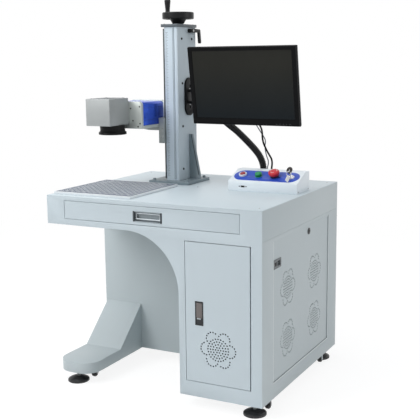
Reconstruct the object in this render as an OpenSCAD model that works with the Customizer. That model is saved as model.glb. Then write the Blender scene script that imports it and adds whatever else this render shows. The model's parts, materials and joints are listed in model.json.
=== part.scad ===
// Desk-type laser marking machine: a sheet steel desk with a cabinet, a lifting column with the
// laser head, a monitor on an arm and a sloped control box.
// Millimetres. The origin is on the floor under the middle of the desk, +Z up, front towards -Y.

/* [Desk] */
// Width of the desk
desk_w = 850; // [820:1:960]
// Depth of the desk
desk_d = 728; // [715:1:800]
// Height of the table top above the floor
desk_h = 706; // [690:1:800]
// Height of the drawer box under the top
box_h = 104; // [98:1:130]
// Thickness of the folded steel sheet
sheet = 2; // [1.2:0.1:2.5]
// Height of the lower edges above the floor
ground_gap = 43; // [41:1:60]
// Depth of the folded edges
lip = 18; // [14:1:20]

/* [Leg space] */
// Radius of the arch between drawer box and cabinet
arch_r = 205; // [120:1:230]
// Distance from the front edge to the modesty panel
modesty_y = 357; // [330:1:420]
// Width of the left leg and its foot
leg_w = 158; // [120:1:180]
// Distance of the leg from the left edge
leg_x = 8; // [4:1:20]
// Height of the foot bar
foot_h = 40; // [30:1:60]
// Corner radius of the foot's front end
foot_r = 60; // [30:1:75]

/* [Cabinet] */
// Width of the cabinet
cab_w = 309; // [300:1:330]
// Width of the door
door_w = 239; // [200:1:245]
// Height of the door's lower edge above the cabinet's
door_up = 55; // [50:1:80]
// Distance from the cabinet's right side to the door
door_side = 43; // [38:1:48]
// Gap along the door's free edges
door_gap = 2; // [1.5:0.1:3]
// Gap along the door's hinge edge
hinge_gap = 4; // [4:0.1:5]
// Radius of the hinge pins
hinge_r = 2.5; // [2:0.1:3]
// Height of the inner shelf above the cabinet floor
shelf_h = 285; // [275:1:310]

/* [Side panel] */
// Length of the lift-off side panel
panel_l = 532; // [500:1:560]
// Distance from the side panel's upper edge to the drawer box
panel_top = 15; // [14:1:25]
// Distance from the front edge to the side panel
panel_y = 97; // [60:1:110]
// Radius of the round field of each vent
vent_r = 42; // [30:1:46]
// Radius of the vent holes
vent_hole_r = 3; // [2:0.1:4]

/* [Drawer] */
// Distance from the right edge to the drawer front
drawer_right = 80; // [75:1:90]
// Height of the drawer front
drawer_h = 64; // [58:1:66]
// Distance from the left edge to the drawer front
drawer_x = 77; // [70:1:90]
// Depth of the drawer tray
tray_d = 450; // [300:1:480]
// Gap round the drawer front
drawer_gap = 1.5; // [1:0.1:2]

/* [Feet and casters] */
// Radius of a levelling pad
pad_r = 40; // [30:1:41]
// Radius of a levelling stud
stud_r = 6; // [4:0.5:8]
// Radius of a caster wheel
wheel_r = 15; // [12:0.5:16]
// Width of a caster wheel
wheel_w = 14; // [10:1:18]

/* [Work plate] */
// Width of the work plate
plate_w = 326; // [280:1:335]
// Depth of the work plate
plate_d = 337; // [280:1:345]
// Thickness of the work plate
plate_t = 9; // [6:1:12]
// Pitch of the tapped holes
tap_pitch = 36; // [30:1:60]
// Radius of the tapped holes
tap_r = 3; // [2:0.1:3.5]

/* [Column] */
// Side length of the square base plate
base_w = 176; // [170:1:190]
// Thickness of the base plate
base_t = 12; // [8:1:16]
// Size of the column across the desk
col_w = 57; // [54:1:70]
// Size of the column from front to back
col_d = 144; // [130:1:150]
// Height of the column above its base plate
col_h = 587; // [560:1:700]
// Thickness of the column's walls
col_wall = 5; // [4:0.5:7]
// Radius of the lead screw
screw_r = 8; // [6:0.5:9]
// Thickness of the top plate
cap_t = 11; // [8:1:16]

/* [Handwheel] */
// Radius of the handwheel
hand_r = 61; // [50:1:70]
// Height of the handwheel's rim
rim_h = 26; // [18:1:30]
// Length of the turning grip
grip_h = 50; // [40:1:70]
// Radius of the grip at its top
grip_r = 12; // [9:0.5:13]

/* [Laser head] */
// Height of the housing's lower edge above the table top
head_z = 232; // [220:1:330]
// Width of the blue housing
house_w = 150; // [120:1:156]
// Height of the blue housing
house_h = 87; // [70:1:110]
// Length of the blue housing
house_l = 151; // [130:1:151]
// Thickness of the silver end plates
end_t = 14; // [8:1:18]
// Width of the scanner head
galvo_w = 104; // [90:1:120]
// Length of the scanner head
galvo_l = 133; // [120:1:140]
// Height of the scanner head
galvo_h = 99; // [85:1:115]
// Radius of the lens barrel
lens_r = 47.5; // [35:0.5:48]

/* [Control box] */
// Width of the control box
ctrl_w = 271; // [260:1:300]
// Depth of the control box
ctrl_d = 122; // [118:1:140]
// Height of the control box at the back
ctrl_h = 70; // [66:1:90]
// Height of the control box at the front
ctrl_front_h = 36; // [28:1:40]
// Distance between the controls
ctrl_pitch = 63; // [58:1:68]

/* [Monitor] */
// Width of the monitor
mon_w = 432; // [380:1:440]
// Height of the monitor
mon_h = 283; // [240:1:290]
// Width of the monitor's side frames
bezel = 17; // [12:1:20]
// Forward tilt of the monitor in degrees
mon_tilt = 8.4; // [0:0.1:12]
// Turn of the monitor in degrees
mon_turn = -2.3; // [-4:0.1:0]

/* [Hidden] */
$fn = 32;
over = 1;
fit = 0.05;
gap = 0.3;
hole_fn = 6;
tap_fn = 6;

// Heights and places that the desk's sizes give
box_z = desk_h - box_h;
cab_x = desk_w - cab_w;
arch_x = cab_x - arch_r;
arch_z = box_z - arch_r;
floor_z = ground_gap + sheet;
door_x = desk_w - door_side - door_w;
door_top = 18;
door_z = ground_gap + door_up;
door_h = box_z - door_top - door_z;
door_axis_x = door_x + door_w - hinge_gap;
door_axis_y = 5.2;
door_pin_l = 14;
door_pin_out = 3;
latch_in = 38;
latch_up = 202;
latch_w = 27;
latch_h = 80;
latch_t = 14;
latch_proud = 1;
vent_shift = 2;
vent_up = 123;
shelf_side = 20;

// Drawer
drawer_rise = 3;
drawer_w = desk_w - drawer_x - drawer_right;
drawer_z = box_z + (box_h - drawer_h) / 2 + drawer_rise;
tray_wall = 1.5;
tray_side = 10;
tray_h = 50;
rail_t = 7;
rail_h = 20;
rail_foot = 20;
cup_w = 115;
cup_h = 37;
cup_t = 1.5;
cup_deep = 16;
bail_r = 3;
bail_inset = 6;
bail_drop = 20;

// Side panel, its lock and the power inlet
panel_up = 57;
panel_z = ground_gap + panel_up;
panel_h = box_z - panel_z - panel_top;
panel_gap = 1.5;
panel_set = 3;
vent_y_shares = [0.2462, 0.7348];
vent_z_shares = [0.2464, 0.6201];
side_deep = 14;
ring_count = 2;
petal_count = 6;
petal_holes = 4;
petal_r_share = 0.55;
petal_arc = 150;
slot_l = 60;
slot_h = 4;
slot_pitch = 12;
slot_count = 9;
lock_r = 9.5;
lock_flange_r = 12;
lock_flange_t = 2;
lock_drop = 23;
lock_y_share = 0.618;
cam_l = 36;
cam_w = 14;
cam_t = 3;
inlet_l = 58;
inlet_h = 28;
inlet_y = 6;
inlet_drop = 66;
inlet_deep = 30;
inlet_rim = 2;
rocker_proud = 0.8;
rocker_l = 20;
rocker_h = 13;
rocker_r = 13;
socket_l = 24;
socket_h = 17;
socket_deep = 16;

// Feet and casters
pad_h = 12;
pad_neck_r = 13;
pad_neck_h = 8;
nut_r = 11;
nut_h = 8;
foot_x = 72;
foot_right_x = 45;
foot_front_y = 43;
foot_rear_y = 58;
fork_t = 2.5;
fork_plate_r = 17;
fork_plate_t = 3;
fork_trail = 6;
fork_side_gap = 1;
axle_r = 2.5;
wheel_lift = 2;
caster_left_in = [115, 92];
caster_right_in = [22, 96];
caster_left = caster_left_in;
caster_right = [desk_w - caster_right_in[0], caster_right_in[1]];
rear_in = 120;
rear_left = [caster_left[0], desk_d - rear_in];
rear_right = [caster_right[0], desk_d - rear_in];
foot_front = 5;
foot_rise = 183;
foot_slope_y = 200;

// Work plate and column
plate_x = 10;
plate_y = 31;
base_x = 188;
base_y = 403;
col_in_x = 63;
col_in_y = 32;
col_x = base_x + col_in_x;
col_y = base_y + col_in_y;
col_z = desk_h + base_t;
col_top = col_z + col_h;
slot_w = 62;
groove_w = 3;
groove_in = 14;
groove_deep = 2;
cover_t = 4;
cover_screw_r = 4.5;
cover_screw_h = 2.5;
cover_screw_shares = [0.073, 0.356, 0.638, 0.925];
cover_rear_shares = [0.278, 0.925];
cover_edge = 32;
gusset_t = 10;
gusset_h = 175;
gusset_w = 46;
gusset_top = 14;
gusset_toe = 15;
base_bolt_r = 6;
base_bolt_h = 7;
base_bolt_in = 16;
screw_in = 21;
screw_x = col_x + screw_in;
screw_y = col_y + col_d / 2;
foot_bearing_r = 18;
foot_bearing_h = 16;
rail_w = 12;
rail_out = 8;
rail_in = 2;
rail_end = 6;
cap_left = 13;
cap_over = 4;
cap_bearing_r = 20;
cap_bearing_h = 2;
gusset_y_share = 0.6;

// Handwheel, grip and clamp lever
hub_gap = 1;
hub_r = 22;
hub_flare_r = 32;
hub_h = 17;
hub_in = 14;
hub_crown = 2;
grip_angle = 170;
rim_t = 12;
web_t = 8;
spoke_w = 16;
spoke_in = 1;
grip_low_r = 9.5;
grip_stud_r = 4;
grip_in = 9;
clamp_y = 89;
clamp_drop = 13;
clamp_boss_r = 8;
clamp_boss_l = 12;
clamp_arm_t = 9;
clamp_run = 52;
clamp_fall = 42;
clamp_end_r = 6;

// Slider and bracket
slide_t = 6.5;
slide_gap = 0.4;
slide_over = 5;
slide_up = 157;
slide_low = desk_h + slide_up;
slide_h = 165;
guide_w = 10;
bracket_t = 10;
bracket_h = 98;
bracket_front = 12;
bracket_wide = 23;
bracket_bolt_r = 3;
bracket_bolt_h = 1.5;
shelf_t = 16;
shelf_l = 110;
shelf_cut = 44;
nut_r2 = 16;
nut_len = 40;
nut_arm_w = 36;
bracket_gap = 1;

// Laser head
bed_t = 11;
head_x = col_x - rail_out - slide_t - slide_gap - bracket_t - house_w;
head_y = 297;
house_z = desk_h + head_z;
bed_z = house_z - bed_t;
edge_cut = 9;
end_rise = 4;
end_h = house_h + bed_t + end_rise;
galvo_left = 8;
galvo_low = 238;
galvo_flange_t = 5;
galvo_flange_w = 6;
lens_x = 63;
lens_y = 79;
lens_lip = 4;
lens_h = 20;
lens_ring_r = lens_r + 5;
lens_ring_h = 15;
lens_glass_r = 34;
lens_glass_in = 3;
isolator_r = 19;
isolator_l = 90;
gland_r = 14;
gland_l = 14;

// Control box
ctrl_right = 24;
ctrl_x = desk_w - ctrl_w - ctrl_right;
ctrl_y = 360;
ctrl_top_d = 38;
ctrl_round = 3;
ctrl_z = desk_h;
slope_rise = ctrl_h - ctrl_front_h;
slope_run = ctrl_d - ctrl_top_d;
slope_l = sqrt(slope_rise * slope_rise + slope_run * slope_run);
slope_a = atan(slope_rise / slope_run);
overlay_l = 256;
overlay_w = 72;
overlay_t = 0.6;
button_hole_r = 11;
button_bore_r = 9.5;
button_ring_r = 15;
button_ring_h = 3;
button_cap_h = 6;
button_dome_h = 4;
stem_l = 26;
stop_r = 20;
stop_h = 14;
stop_neck_h = 8;
stop_travel = 4;
key_ring_r = 14;
key_ring_h = 5;
key_plug_r = 8;
key_blade_h = 26;
key_blade_w = 12;
key_t = 2.2;
key_bow_r = 12;
key_bow_hole_r = 2.5;
key_hole_y = 8;
tag_ring_r = 9;
tag_wire_r = 0.9;
tag_w = 14;
tag_l = 30;
tag_t = 1.6;
usb_w = 15;
usb_h = 6;
usb_x = 51;
usb_z = 17;
tag_fall = 11;
tag_hole_in = 4;

// Monitor and arm
mon_right = 362;
mon_front = 75;
mon_up = 379;
mon_at = [col_x + mon_right, col_y - mon_front, desk_h + mon_up];
mon_t = 20;
mon_back_t = 28;
mon_back_w_share = 0.62;
mon_back_h_share = 0.66;
bezel_top = 13;
bezel_low = 24;
screen_in = 2;
screen_t = 3;
vesa_w = 115;
vesa_t = 3;
ear_t = 6;
tilt_r = 11;
head_reach = 14;
head_web = 12;
head_drop = 36;
head_foot = 12;
head_half = 12;
head_back = 5;
head_web_w = 22;
tilt_pin_r = 5;
tilt_back = 24;
ear_in = 13.3;
tilt_y = mon_t + mon_back_t + vesa_t + tilt_back;
wall_in = 80;
wall_up = 334;
wall_y = col_y + wall_in;
wall_z = desk_h + wall_up;
wall_w = 66;
wall_h = 147;
wall_t = 8;
wall_slot_w = 7;
wall_slot_l = 20;
wall_slot_z = 36;
pivot_out = 37;
pivot_r = 13;
pivot_pin_r = 5;
eye_h = 34;
ear_h = 10;
arm_w = 24;
arm_h = 30;
arm_side = 4;
arm_behind = 102;
arm_head_xy = [mon_at[0] + arm_side, mon_at[1] + arm_behind];
arm_dx = arm_head_xy[0] - col_x - col_w - pivot_out;
arm_dy = arm_head_xy[1] - wall_y;
arm_l = sqrt(arm_dx * arm_dx + arm_dy * arm_dy);
arm_a = atan2(arm_dy, arm_dx);

// Cabinet contents
source_w = 215;
source_d = 340;
source_h = 95;
case_w = 175;
case_d = 380;
case_h = 250;
inner_x = 40;
inner_y = 160;
source_foot_h = 6;
source_foot_r = 10;
fan_ring_shares = [0.3, 0.5, 0.7, 0.9];
fan_groove_w = 5;
fan_deep = 4;

// Cords: route points in the desk's corner frame, chosen by hand
conduit_r = 10;
conduit_bore_r = 7.5;
conduit_rib = 1;
conduit_sides = 8;
conduit_ribs = 120;
bore_step = 6;
route_steps = 12;
conduit_path = [[150, 580, 983], [150, 596, 983], [150, 612, 983], [157, 637, 984], [173, 658, 985],
    [198, 673, 986], [228, 680, 987], [262, 676, 985], [300, 663, 981], [340, 644, 974], [380, 619, 964],
    [415, 593, 952], [445, 570, 939], [470, 558, 926], [498, 552, 909], [534, 549, 880], [561, 546, 857],
    [583, 543, 837], [602, 540, 815], [614, 537, 793], [619, 535, 774], [620, 535, 756], [620, 535, 740],
    [620, 535, 724]];
conduit_gland = [620, 535];
lead_a_r = 1.5;
lead_b_r = 2.5;
lead_sides = 8;
lead_a_path = [[642, 520, 712], [642, 520, 745], [643, 520, 775], [646, 520, 789], [646, 519, 803],
    [641, 518, 817], [637, 517, 833], [634, 516, 853], [636, 515, 869], [636, 514, 881], [630, 513, 893],
    [622, 512, 905], [608, 508, 928], [594, 500, 955], [580, 486, 985], [572, 474, 1003], [570, 471, 1013],
    [570, 471, 1025]];
lead_b_path = [[660, 520, 712], [660, 520, 745], [660, 520, 772], [663, 517, 794], [661, 515, 810],
    [654, 512, 824], [645, 510, 840], [638, 508, 855], [632, 506, 871], [629, 504, 889], [629, 502, 906],
    [627, 500, 922], [621, 497, 937], [612, 490, 955], [602, 480, 980], [594, 470, 1002], [592, 467, 1013],
    [592, 467, 1025]];
lead_a_gland = [642, 520];
lead_b_gland = [660, 520];
lead_gland_h = 6;
lead_gland_r = 6;
gland_nut_h = 18;
gland_nut_r = 17;

// Helpers
module from_corner() { translate([-desk_w / 2, -desk_d / 2, 0]) children(); }
module block(p, s) { translate(p) cube(s); }
module front_sheet(y, t) { translate([0, y + t, 0]) rotate([90, 0, 0]) linear_extrude(t) children(); }
module side_sheet(x, t) { translate([x, 0, 0]) rotate([90, 0, 90]) linear_extrude(t) children(); }
module rod_x(p, r, l) { translate(p) rotate([0, 90, 0]) cylinder(r = r, h = l); }
module rod_y(p, r, l) { translate(p) rotate([-90, 0, 0]) cylinder(r = r, h = l); }
module rod_z(p, r, l) { translate(p) cylinder(r = r, h = l); }

// An open-backed frame of sheet: edges folded back along the border of a rectangle
module folded_edge(p, s, t) {
    difference() {
        block(p, s);
        block([p[0] + t, p[1] - over, p[2] + t], [s[0] - 2 * t, s[1] + 2 * over, s[2] - 2 * t]);
    }
}

// A tray of sheet, open towards +Z
module open_box(p, s, t) {
    difference() {
        block(p, s);
        block([p[0] + t, p[1] + t, p[2] + t], [s[0] - 2 * t, s[1] - 2 * t, s[2]]);
    }
}

// The corner between drawer box and cabinet, outside the arch
module arch_corner() {
    difference() {
        translate([arch_x, arch_z]) square(arch_r);
        translate([arch_x, arch_z]) circle(r = arch_r, $fn = 96);
    }
}

// Vent holes: rings in a round field, with petals of holes round it
module flower() {
    step = vent_r / (ring_count + 0.5);
    circle(r = vent_hole_r, $fn = hole_fn);
    for (k = [1 : ring_count], i = [0 : 6 * k - 1])
        rotate(i * 60 / k) translate([k * step, 0]) circle(r = vent_hole_r, $fn = hole_fn);
    for (p = [0 : petal_count - 1], i = [0 : petal_holes - 1])
        rotate((p + 0.5) * 360 / petal_count) translate([vent_r, 0])
            rotate(petal_arc * (i / (petal_holes - 1) - 0.5)) translate([vent_r * petal_r_share, 0])
                circle(r = vent_hole_r, $fn = hole_fn);
}

// Desk
module desk_top() {
    in_x = sheet + gap;
    in_y = lip + gap;
    color([0.84, 0.89, 0.92]) from_corner() {
        block([0, 0, desk_h - sheet], [desk_w, desk_d, sheet]);
        difference() {
            block([in_x, in_y, desk_h - lip], [desk_w - 2 * in_x, desk_d - in_y - in_x, lip - sheet / 2]);
            block([in_x + sheet, in_y + sheet, desk_h - lip - over],
                [desk_w - 2 * (in_x + sheet), desk_d - in_y - in_x - 2 * sheet, 2 * lip]);
        }
    }
}

module desk_fascia() {
    open_x = drawer_x - drawer_gap;
    open_w = drawer_w + 2 * drawer_gap;
    open_z = drawer_z - drawer_gap;
    open_h = drawer_h + 2 * drawer_gap;
    way_w = door_w + door_gap + hinge_gap;
    way_h = door_h + 2 * door_gap;
    color([0.75, 0.8, 0.83]) from_corner() difference() {
        union() {
            front_sheet(0, sheet) difference() {
                union() {
                    translate([0, box_z]) square([desk_w, box_h - sheet]);
                    translate([cab_x, ground_gap]) square([cab_w, box_z - ground_gap]);
                    arch_corner();
                }
                translate([open_x, open_z]) square([open_w, open_h]);
                translate([door_x - door_gap, door_z - door_gap]) square([way_w, way_h]);
            }
            folded_edge([open_x - sheet, sheet / 2, open_z - sheet],
                [open_w + 2 * sheet, lip - sheet / 2, open_h + 2 * sheet], sheet);
            folded_edge([door_x - door_gap - sheet, sheet / 2, door_z - door_gap - sheet],
                [way_w + 2 * sheet, lip - sheet / 2, way_h + 2 * sheet], sheet);
        }
        for (z = [door_z - door_gap - 2 * sheet, door_z + door_h])
            rod_z([door_axis_x, door_axis_y, z], hinge_r + fit, 4 * sheet);
    }
}

module upper_frame() {
    color([0.7, 0.75, 0.78]) from_corner() difference() {
        block([0, sheet, box_z], [desk_w, desk_d - sheet, box_h - sheet]);
        block([sheet, 0, box_z + sheet], [desk_w - 2 * sheet, desk_d - sheet, box_h]);
    }
}

module cabinet_frame() {
    way = panel_gap;
    color([0.7, 0.75, 0.78]) from_corner() {
        difference() {
            union() {
                front_sheet(sheet, desk_d - 2 * sheet) union() {
                    translate([cab_x, ground_gap]) square([sheet, arch_z - ground_gap]);
                    intersection() {
                        difference() {
                            translate([arch_x, arch_z]) circle(r = arch_r + sheet, $fn = 96);
                            translate([arch_x, arch_z]) circle(r = arch_r, $fn = 96);
                        }
                        translate([arch_x, arch_z]) square([arch_r + sheet, arch_r]);
                    }
                }
                block([cab_x, sheet, ground_gap], [cab_w, desk_d - 2 * sheet, sheet]);
                block([desk_w - sheet, sheet, ground_gap], [sheet, desk_d - 2 * sheet, box_z - ground_gap]);
                block([cab_x + sheet, lip + sheet, ground_gap + shelf_h],
                    [cab_w - sheet - shelf_side, desk_d - lip - 3 * sheet, sheet]);
                block([cab_x + sheet, lip + sheet, ground_gap + shelf_h - lip],
                    [cab_w - sheet - shelf_side, sheet, lip + sheet / 2]);
                for (x = [cab_x + sheet / 2, desk_w - lip - sheet / 2])
                    block([x, desk_d - 2 * sheet, ground_gap], [lip, sheet, box_z - ground_gap]);
                side_lip();
            }
            block([desk_w - sheet - over, panel_y - way, panel_z - way],
                [sheet + 2 * over, panel_l + 2 * way, panel_h + 2 * way]);
        }
    }
    color([0.12, 0.12, 0.12]) caster_fork(rear_right);
}

// Folded edge round the opening for the side panel
module side_lip() {
    way = panel_gap;
    difference() {
        block([desk_w - side_deep, panel_y - way - sheet, panel_z - way - sheet],
            [side_deep - sheet / 2, panel_l + 2 * (way + sheet), panel_h + 2 * (way + sheet)]);
        block([desk_w - side_deep - over, panel_y - way, panel_z - way],
            [side_deep + 2 * over, panel_l + 2 * way, panel_h + 2 * way]);
    }
}

module rear_panel() {
    color([0.75, 0.8, 0.83]) from_corner() front_sheet(desk_d - sheet, sheet) difference() {
        translate([cab_x, ground_gap]) square([cab_w, box_z - ground_gap]);
        for (i = [0 : slot_count - 1], side = [-1, 1])
            translate([cab_x + cab_w / 2 + side * slot_l * 0.65 - slot_l / 2, box_z - 2 * slot_l - i * slot_pitch])
                square([slot_l, slot_h]);
    }
}

module side_panel() {
    x = desk_w - sheet - panel_set;
    lock_y = panel_y + panel_l * lock_y_share;
    lock_z = panel_z + panel_h - lock_drop;
    color([0.68, 0.73, 0.75]) from_corner() {
        side_sheet(x, sheet) difference() {
            translate([panel_y, panel_z]) square([panel_l, panel_h]);
            for (u = vent_y_shares, v = vent_z_shares)
                translate([panel_y + panel_l * u, panel_z + panel_h * v]) flower();
            translate([lock_y, lock_z]) circle(r = lock_r + gap);
            translate([panel_y + inlet_y, panel_z + panel_h - inlet_drop - inlet_h]) square([inlet_l, inlet_h]);
        }
        difference() {
            block([x - lip / 2, panel_y, panel_z], [lip / 2 + sheet / 2, panel_l, panel_h]);
            block([x - lip, panel_y + sheet, panel_z + sheet],
                [2 * lip, panel_l - 2 * sheet, panel_h - 2 * sheet]);
        }
    }
}

module side_lock() {
    x = desk_w - panel_set;
    y = panel_y + panel_l * lock_y_share;
    z = panel_z + panel_h - lock_drop;
    back = desk_w - side_deep - gap;
    color([0.6, 0.6, 0.6]) from_corner() {
        difference() {
            union() {
                rod_x([x + gap, y, z], lock_flange_r, lock_flange_t - gap);
                rod_x([back - cam_t / 2, y, z], lock_r, x + lock_flange_t / 2 - back + cam_t / 2);
            }
            block([x + lock_flange_t / 2, y - lock_r / 10, z - lock_r / 2], [lock_flange_t, lock_r / 5, lock_r]);
        }
        translate([back, y, z]) rotate([0, -90, 0]) linear_extrude(cam_t) {
            circle(r = cam_w / 2);
            translate([0, -cam_w / 2]) square([cam_l, cam_w]);
        }
    }
}

module power_inlet() {
    x = desk_w - sheet - panel_set;
    y = panel_y + inlet_y;
    z = panel_z + panel_h - inlet_drop - inlet_h;
    color([0.45, 0.47, 0.48]) from_corner() difference() {
        union() {
            block([x + sheet, y - inlet_rim, z - inlet_rim], [inlet_rim, inlet_l + 2 * inlet_rim, inlet_h + 2 * inlet_rim]);
            block([x - inlet_deep, y, z], [inlet_deep + sheet + inlet_rim / 2, inlet_l, inlet_h]);
        }
        block([x + sheet + inlet_rim - socket_deep, y + inlet_l - socket_l - 2 * inlet_rim, z + (inlet_h - socket_h) / 2],
            [socket_deep + over, socket_l, socket_h]);
        block([x + sheet + inlet_rim - socket_deep, y + 2 * inlet_rim, z + (inlet_h - rocker_h) / 2],
            [socket_deep + over, rocker_l, rocker_h]);
    }
}

module power_rocker() {
    x = desk_w - panel_set + inlet_rim + rocker_proud - rocker_r;
    y = panel_y + inlet_y + 2 * inlet_rim + rocker_l / 2;
    z = panel_z + panel_h - inlet_drop - inlet_h / 2;
    color([0.1, 0.1, 0.1]) from_corner() translate([x, y, z - rocker_h / 2 + gap]) intersection() {
        cylinder(r = rocker_r, h = rocker_h - 2 * gap);
        translate([0, -rocker_l * 0.36, 0]) cube([rocker_r, rocker_l * 0.72, rocker_h]);
    }
}

module modesty_panel() {
    color([0.75, 0.8, 0.83]) from_corner() front_sheet(modesty_y, sheet) difference() {
        translate([0, ground_gap]) square([cab_x, box_z - ground_gap]);
        arch_corner();
    }
}

// Side view of the foot: a low bar that climbs to the leg
module foot_side(inset) {
    polygon([[inset, ground_gap + inset], [inset, ground_gap + foot_h - inset],
        [foot_slope_y, ground_gap + foot_h - inset],
        [modesty_y - gap - inset, ground_gap + foot_rise - inset],
        [modesty_y - gap - inset, ground_gap + inset]]);
}

// Plan of the foot: a bar with a rounded front end
module foot_plan(inset) {
    r = foot_r - inset;
    for (x = [leg_x + inset + r, leg_x + leg_w - inset - r]) translate([x, foot_front + inset + r]) circle(r = r, $fn = 64);
    translate([leg_x + inset + r, foot_front + inset]) square([leg_w - 2 * (inset + r), r]);
    translate([leg_x + inset, foot_front + inset + r]) square([leg_w - 2 * inset, modesty_y - foot_front - r - 2 * inset]);
}

module left_leg() {
    tall = box_z - ground_gap;
    y = modesty_y + sheet;
    color([0.73, 0.78, 0.81]) from_corner() {
        difference() {
            intersection() {
                side_sheet(leg_x, leg_w) foot_side(0);
                translate([0, 0, 0]) linear_extrude(desk_h) foot_plan(0);
            }
            intersection() {
                side_sheet(leg_x, leg_w) foot_side(sheet);
                linear_extrude(desk_h) foot_plan(sheet);
            }
        }
        difference() {
            block([leg_x, y, ground_gap], [leg_w, desk_d - y, tall]);
            block([leg_x + sheet, y + sheet, ground_gap + sheet],
                [leg_w - 2 * sheet, desk_d - y - 2 * sheet, tall - 2 * sheet]);
        }
    }
    color([0.12, 0.12, 0.12]) caster_fork(rear_left);
}

// Places of the levelling feet
function foot_places() = [[foot_x + leg_x, foot_front_y], [foot_x + leg_x, desk_d - foot_rear_y],
    [desk_w - foot_right_x, foot_front_y], [desk_w - foot_right_x, desk_d - foot_rear_y]];

module levelling_feet() {
    color([0.08, 0.08, 0.08]) from_corner() for (p = foot_places()) translate([p[0], p[1], 0]) {
        rotate_extrude() polygon([[0, 0], [pad_r, 0], [pad_r, pad_h / 3], [pad_neck_r, pad_h],
            [pad_neck_r, pad_h + pad_neck_h], [0, pad_h + pad_neck_h]]);
        translate([0, 0, pad_h + pad_neck_h]) cylinder(r = stud_r, h = ground_gap - pad_h - pad_neck_h - nut_h);
        translate([0, 0, ground_gap - nut_h]) cylinder(r = nut_r, h = nut_h, $fn = 6);
    }
}

module caster_fork(place) {
    inner = wheel_w / 2 + fork_side_gap;
    top = ground_gap;
    axle_z = wheel_r + wheel_lift;
    from_corner() translate([place[0], place[1], 0]) {
        translate([0, 0, top - fork_plate_t]) cylinder(r = fork_plate_r, h = fork_plate_t);
        for (s = [-1, 1]) translate([s > 0 ? inner : -inner - fork_t, 0, 0]) side_sheet(0, fork_t)
            polygon([[-fork_plate_r / 2, top - fork_plate_t / 2], [fork_plate_r / 2, top - fork_plate_t / 2],
                [fork_trail + 2 * axle_r, axle_z - 2 * axle_r], [fork_trail - 2 * axle_r, axle_z - 2 * axle_r]]);
        rod_x([-inner - fork_t, fork_trail, axle_z], axle_r, 2 * (inner + fork_t));
    }
}

module caster_wheel(place) {
    from_corner() difference() {
        rod_x([place[0] - wheel_w / 2, place[1] + fork_trail, wheel_r + wheel_lift], wheel_r, wheel_w);
        rod_x([place[0] - wheel_w, place[1] + fork_trail, wheel_r + wheel_lift], axle_r + fit, 2 * wheel_w);
    }
}

module caster_fork_left() { color([0.12, 0.12, 0.12]) caster_fork(caster_left); }
module caster_fork_right() { color([0.12, 0.12, 0.12]) caster_fork(caster_right); }
module caster_wheel_left() { color([0.05, 0.05, 0.05]) caster_wheel(caster_left); }
module caster_wheel_right() { color([0.05, 0.05, 0.05]) caster_wheel(caster_right); }
module rear_wheel_left() { color([0.05, 0.05, 0.05]) caster_wheel(rear_left); }
module rear_wheel_right() { color([0.05, 0.05, 0.05]) caster_wheel(rear_right); }

// Drawer
module drawer_tray() {
    color([0.72, 0.77, 0.8]) from_corner()
        open_box([drawer_x + tray_side, lip, drawer_z + 2 * sheet],
            [drawer_w - 2 * tray_side, tray_d, tray_h], tray_wall);
}

module drawer_front() {
    cx = drawer_x + drawer_w / 2;
    cz = drawer_z + drawer_h / 2 - drawer_rise;
    color([0.76, 0.81, 0.84]) from_corner() {
        front_sheet(0, sheet) difference() {
            translate([drawer_x, drawer_z]) square([drawer_w, drawer_h]);
            translate([cx - cup_w / 2, cz - cup_h / 2]) square([cup_w, cup_h]);
        }
        folded_edge([drawer_x, sheet / 2, drawer_z], [drawer_w, lip - sheet / 2, drawer_h], sheet);
    }
}

module handle_cup() {
    cx = drawer_x + drawer_w / 2;
    cz = drawer_z + drawer_h / 2 - drawer_rise;
    color([0.55, 0.56, 0.57]) from_corner() difference() {
        block([cx - cup_w / 2, 0, cz - cup_h / 2], [cup_w, cup_deep, cup_h]);
        block([cx - cup_w / 2 + cup_t, -over, cz - cup_h / 2 + cup_t],
            [cup_w - 2 * cup_t, cup_deep - cup_t + over, cup_h - 2 * cup_t]);
    }
}

module drawer_handle() {
    cx = drawer_x + drawer_w / 2;
    cz = drawer_z + drawer_h / 2 - drawer_rise;
    half = cup_w / 2 - cup_t - gap;
    top = cz + cup_h / 2 - bail_inset - bail_r / 2;
    y = bail_inset;
    color([0.7, 0.71, 0.72]) from_corner() {
        rod_x([cx - half, y, top], bail_r, 2 * half);
        rod_x([cx - half, y, top - bail_drop], bail_r, 2 * half);
        for (x = [cx - half, cx + half - 2 * bail_r])
            block([x, y - bail_r / 2, top - bail_drop], [2 * bail_r, bail_r, bail_drop]);
    }
}

module drawer_rails() {
    z = drawer_z + 2 * sheet + tray_h / 3;
    color([0.62, 0.64, 0.66]) from_corner() for (side = [-1, 1]) {
        mid = drawer_x + drawer_w / 2;
        reach = drawer_w / 2 - tray_side + gap;
        translate([mid, 0, 0]) mirror([side < 0 ? 1 : 0, 0, 0]) {
            difference() {
                block([reach, lip + sheet, z], [rail_t, tray_d, rail_h]);
                block([reach - over, lip, z + rail_h / 4], [rail_t - sheet + over, tray_d + 2 * lip, rail_h / 2]);
            }
            block([reach + rail_t - sheet / 2, lip + sheet, box_z + sheet], [sheet, tray_d, z - box_z + rail_h / 2]);
            block([reach + rail_t - sheet / 2, lip + sheet, box_z + sheet], [rail_foot, tray_d, sheet]);
        }
    }
}

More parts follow.
